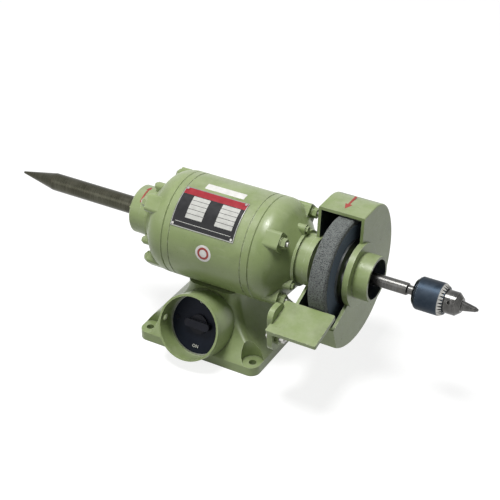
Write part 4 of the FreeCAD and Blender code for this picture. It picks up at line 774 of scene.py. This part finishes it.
WHITE_FILM = make_film_material("white_film", pair((0.66, 0.65, 0.62), (0.80, 0.79, 0.76)), 0.45)
RED_FILM = make_film_material("red_paint", pair((0.25, 0.026, 0.020), (0.36, 0.050, 0.038)), 0.5)
print("made", WHITE_FILM.name, RED_FILM.name)

# %% [markdown]
# A blank paper strip lies above the rating plate, and a round film with a red ring below it.
# A flat film would cut into the barrel, so every point of the grid is laid on the barrel by
# its place along X and its angle. For a round film one side of the grid goes round the middle
# and the other goes outwards.

# %% Films on the barrel
STRIP_X = (-0.0324, 0.0293)
STRIP_ANGLE = (92.0, 101.0)
ROUND_X, ROUND_ANGLE = -0.0003, 172.0
ROUND_REACH = (0.0, 0.0122)
RING_REACH = (0.0058, 0.0088)
RING_LIFT = 0.0003


def between(ends, grid_place):
    """A grid of size 1 runs from -0.5 to 0.5, and this makes it run between two ends."""
    return ends[0] + (ends[1] - ends[0]) * (grid_place + 0.5)


def on_barrel(x, degrees, radius):
    turn = math.radians(degrees)
    return Vector((MOTOR_X + x, radius * math.cos(turn), SHAFT_Z + radius * math.sin(turn)))


def barrel_film(name, ends, angles, lift, material):
    piece = grid_piece(name, columns=12, rows=24)
    for vertex in piece.data.vertices:
        x, degrees = between(ends, vertex.co.x), between(angles, vertex.co.y)
        vertex.co = on_barrel(x, degrees, BARREL_R + lift)
    return finish_film(piece, material)


def barrel_disc(name, reaches, lift, material):
    piece = grid_piece(name, columns=48, rows=6)
    radius = BARREL_R + lift
    for vertex in piece.data.vertices:
        turn = 2 * math.pi * (vertex.co.x + 0.5)
        reach = between(reaches, vertex.co.y)
        shift = math.degrees(reach * math.sin(turn) / radius)
        vertex.co = on_barrel(ROUND_X + reach * math.cos(turn), ROUND_ANGLE - shift, radius)
    return finish_film(piece, material)


films = [barrel_film("blank_strip", STRIP_X, STRIP_ANGLE, FILM_LIFT, WHITE_FILM),
         barrel_disc("round_film", ROUND_REACH, FILM_LIFT, WHITE_FILM),
         barrel_disc("round_film_ring", RING_REACH, RING_LIFT, RED_FILM)]
print("films", [film.name for film in films])

# %% [markdown]
# Two plain red arrows tell which way the shaft turns. One goes round the hub on the spindle
# side, and one lies on the guard's flat top. An outline could be filled with a single face,
# but that doesn't bend round a hub. So a stem and a head that narrows to a point are bent as
# grids, by one function that asks another where a spot of the arrow lies.

# %% Rotation arrows
HUB_ARROW_X, HUB_ARROW_R = -0.1345, 0.0356
HUB_ARROW_START, HUB_ARROW_TURN = 132.0, 54.0
GUARD_ARROW_X, GUARD_ARROW_Y, GUARD_ARROW_LENGTH = 0.165, 0.056, 0.036
GUARD_TOP_Z = 0.247


def arrow_parts(name, place, stem_width, head_width, head_share):
    """Bend a stem and a head with place(along, aside), both joined into one piece."""
    stem = grid_piece(name, columns=2, rows=24)
    for vertex in stem.data.vertices:
        along = (vertex.co.y + 0.5) * (1 - head_share)
        vertex.co = place(along, vertex.co.x * stem_width)
    head = grid_piece(name + "_head", columns=6, rows=12)
    for vertex in head.data.vertices:
        along = vertex.co.y + 0.5
        aside = vertex.co.x * head_width * (1 - along)
        vertex.co = place(1 - head_share + along * head_share, aside)
    select_only(head, stem)
    bpy.ops.object.join()
    return stem


def hub_place(along, aside):
    return on_barrel(HUB_ARROW_X + aside, HUB_ARROW_START - HUB_ARROW_TURN * along, HUB_ARROW_R)


def guard_place(along, aside):
    return Vector((MOTOR_X + GUARD_ARROW_X + aside, GUARD_ARROW_Y - GUARD_ARROW_LENGTH * along,
                   GUARD_TOP_Z + FILM_LIFT))


hub_arrow = arrow_parts("hub_arrow", hub_place, stem_width=0.0026, head_width=0.0068,
                        head_share=0.3)
guard_arrow = arrow_parts("guard_arrow", guard_place, stem_width=0.0033, head_width=0.0104,
                          head_share=0.36)
arrows = [finish_film(arrow, RED_FILM) for arrow in (hub_arrow, guard_arrow)]
print("arrows", [arrow.name for arrow in arrows])

# %% [markdown]
# The switch plate says OFF above the knob and ON below it. A text object gives clean letters.
# It is made a mesh before its place is applied, so that the finished piece sits at the origin
# as a CAD node does. The words are a tenth of a millimetre thick and turned to the slope of
# the switch cup, which looks forward and up.

# %% Switch words
CUP_CENTRE = Vector((0.0, -0.1005, 0.063))
CUP_TURN = math.radians(68)
PLATE_FACE = -0.033
WORD_SIZE = 0.0062
WORD_EXTRUDE = 0.00005
WORD_LIFT = 0.00006


def switch_word(name, body, up):
    select_only()
    bpy.ops.object.text_add(location=(0, 0, 0))
    word = bpy.context.object
    word.name = name
    word.data.body = body
    word.data.size = WORD_SIZE
    word.data.align_x = "CENTER"
    word.data.align_y = "CENTER"
    word.data.extrude = WORD_EXTRUDE
    bpy.ops.object.convert(target="MESH")
    word = bpy.context.object
    turn = Matrix.Translation(CUP_CENTRE) @ Matrix.Rotation(CUP_TURN, 4, "X")
    word.data.transform(turn @ Matrix.Translation(Vector((0.0, up, PLATE_FACE + WORD_LIFT))))
    return hand_over(word, WHITE_FILM)


words = [switch_word("switch_word_off", "OFF", up=0.0325),
         switch_word("switch_word_on", "ON", up=-0.0335)]
print("words", [word.name for word in words])

# %% [markdown]
# The floor is pale and wide, and keeps the shadow. More light would turn it white, but would
# bleach the machine as well. So a light path node tells who looks: to the camera, in mirrors
# and through glass the floor glows, and to other rays it is a plain grey.

# %% Floor
FLOOR_TONES = pair((0.46, 0.46, 0.46), (0.48, 0.48, 0.48))
FLOOR_SEEN = rgb(0.30, 0.30, 0.30)
FLOOR_GLOW = 0.82
FLOOR_SIZE, FLOOR_Z = 30, -0.0002
WHITE = rgb(1.0, 1.0, 1.0)


def seen_directly(tree):
    path = add(tree, "ShaderNodeLightPath").outputs
    seen = math_node(tree, "MAXIMUM", path["Is Camera Ray"], path["Is Glossy Ray"])
    return math_node(tree, "MAXIMUM", seen, path["Is Transmission Ray"])


def make_floor():
    select_only()
    bpy.ops.mesh.primitive_plane_add(size=FLOOR_SIZE, location=(0, 0, FLOOR_Z))
    floor = bpy.context.object
    floor.name = "floor"
    material, tree, surface = new_material("pale_floor", Roughness=0.9, Emission_Color=WHITE)
    colour = mix_colour(tree, noise(tree, object_place(tree), 3.0), *FLOOR_TONES)
    seen = seen_directly(tree)
    colour = mix_colour(tree, seen, colour, FLOOR_SEEN)
    tree.links.new(colour, surface.inputs["Base Color"])
    tree.links.new(product(tree, seen, FLOOR_GLOW), surface.inputs["Emission Strength"])
    floor.data.materials.append(material)
    return floor


floor = make_floor()
print("floor", floor.name)

# %% [markdown]
# Around the machine there is only white. Walls could be built, but a world background has no
# edges. The same test of who looks makes it white to the camera and in mirrors. As a source
# of light it stays weak, so that the shadow is kept.

# %% World
WORLD_LIGHT = 0.11


def make_world():
    world = bpy.data.worlds.new("studio")
    bpy.context.scene.world = world
    world.use_nodes = True
    tree = world.node_tree
    tree.nodes.clear()
    level = spread(tree, seen_directly(tree), 0.0, 1.0, WORLD_LIGHT, 1.0)
    light = add(tree, "ShaderNodeBackground", {"Color": WHITE, "Strength": level})
    add(tree, "ShaderNodeOutputWorld", {0: light.outputs[0]})
    return world


world = make_world()
print("world", world.name)

# %% [markdown]
# A soft light hangs above and a little in front, and a weaker one fills from the front left.
# A single small lamp would give hard black shadows. A wide disk gives soft shadows and broad
# highlights on the enamel, and the weak lamp opens the dark sides.

# %% Lamps
LIT_MIDDLE = Vector((0.0, 0.0, 0.15))


def turn_towards(item, target):
    item.rotation_euler = (target - item.location).to_track_quat("-Z", "Y").to_euler()


def area_lamp(name, place, size, power):
    data = bpy.data.lights.new(name, "AREA")
    data.shape = "DISK"
    data.size = size
    data.energy = power
    lamp = bpy.data.objects.new(name, data)
    bpy.context.scene.collection.objects.link(lamp)
    lamp.location = place
    turn_towards(lamp, LIT_MIDDLE)
    return lamp


key = area_lamp("key_light", (-0.05, -0.36, 2.2), size=0.8, power=46.0)
fill = area_lamp("fill_light", (-0.8, -1.6, 1.1), size=1.2, power=5.0)
print("lamps", key.name, fill.name)

# %% [markdown]
# The camera stands where the photograph was taken from: in front, to the right and above. Its
# place and lens were fitted to points of the machine, so that proportions can be compared.

# %% Camera
CAMERA_PLACE = (0.8116, -1.3501, 1.1511)
CAMERA_TARGET = Vector((0.0427, 0.0, 0.14987))
LENS, SENSOR_WIDTH, CLIP_END = 94.89, 36.0, 100.0


def make_camera():
    data = bpy.data.cameras.new("camera")
    data.lens = LENS
    data.sensor_width = SENSOR_WIDTH
    data.clip_end = CLIP_END
    camera = bpy.data.objects.new("camera", data)
    bpy.context.scene.collection.objects.link(camera)
    camera.location = CAMERA_PLACE
    turn_towards(camera, CAMERA_TARGET)
    bpy.context.scene.camera = camera
    return camera


camera = make_camera()
bpy.context.scene.view_settings.view_transform = "Standard"
print("camera lens", camera.data.lens)
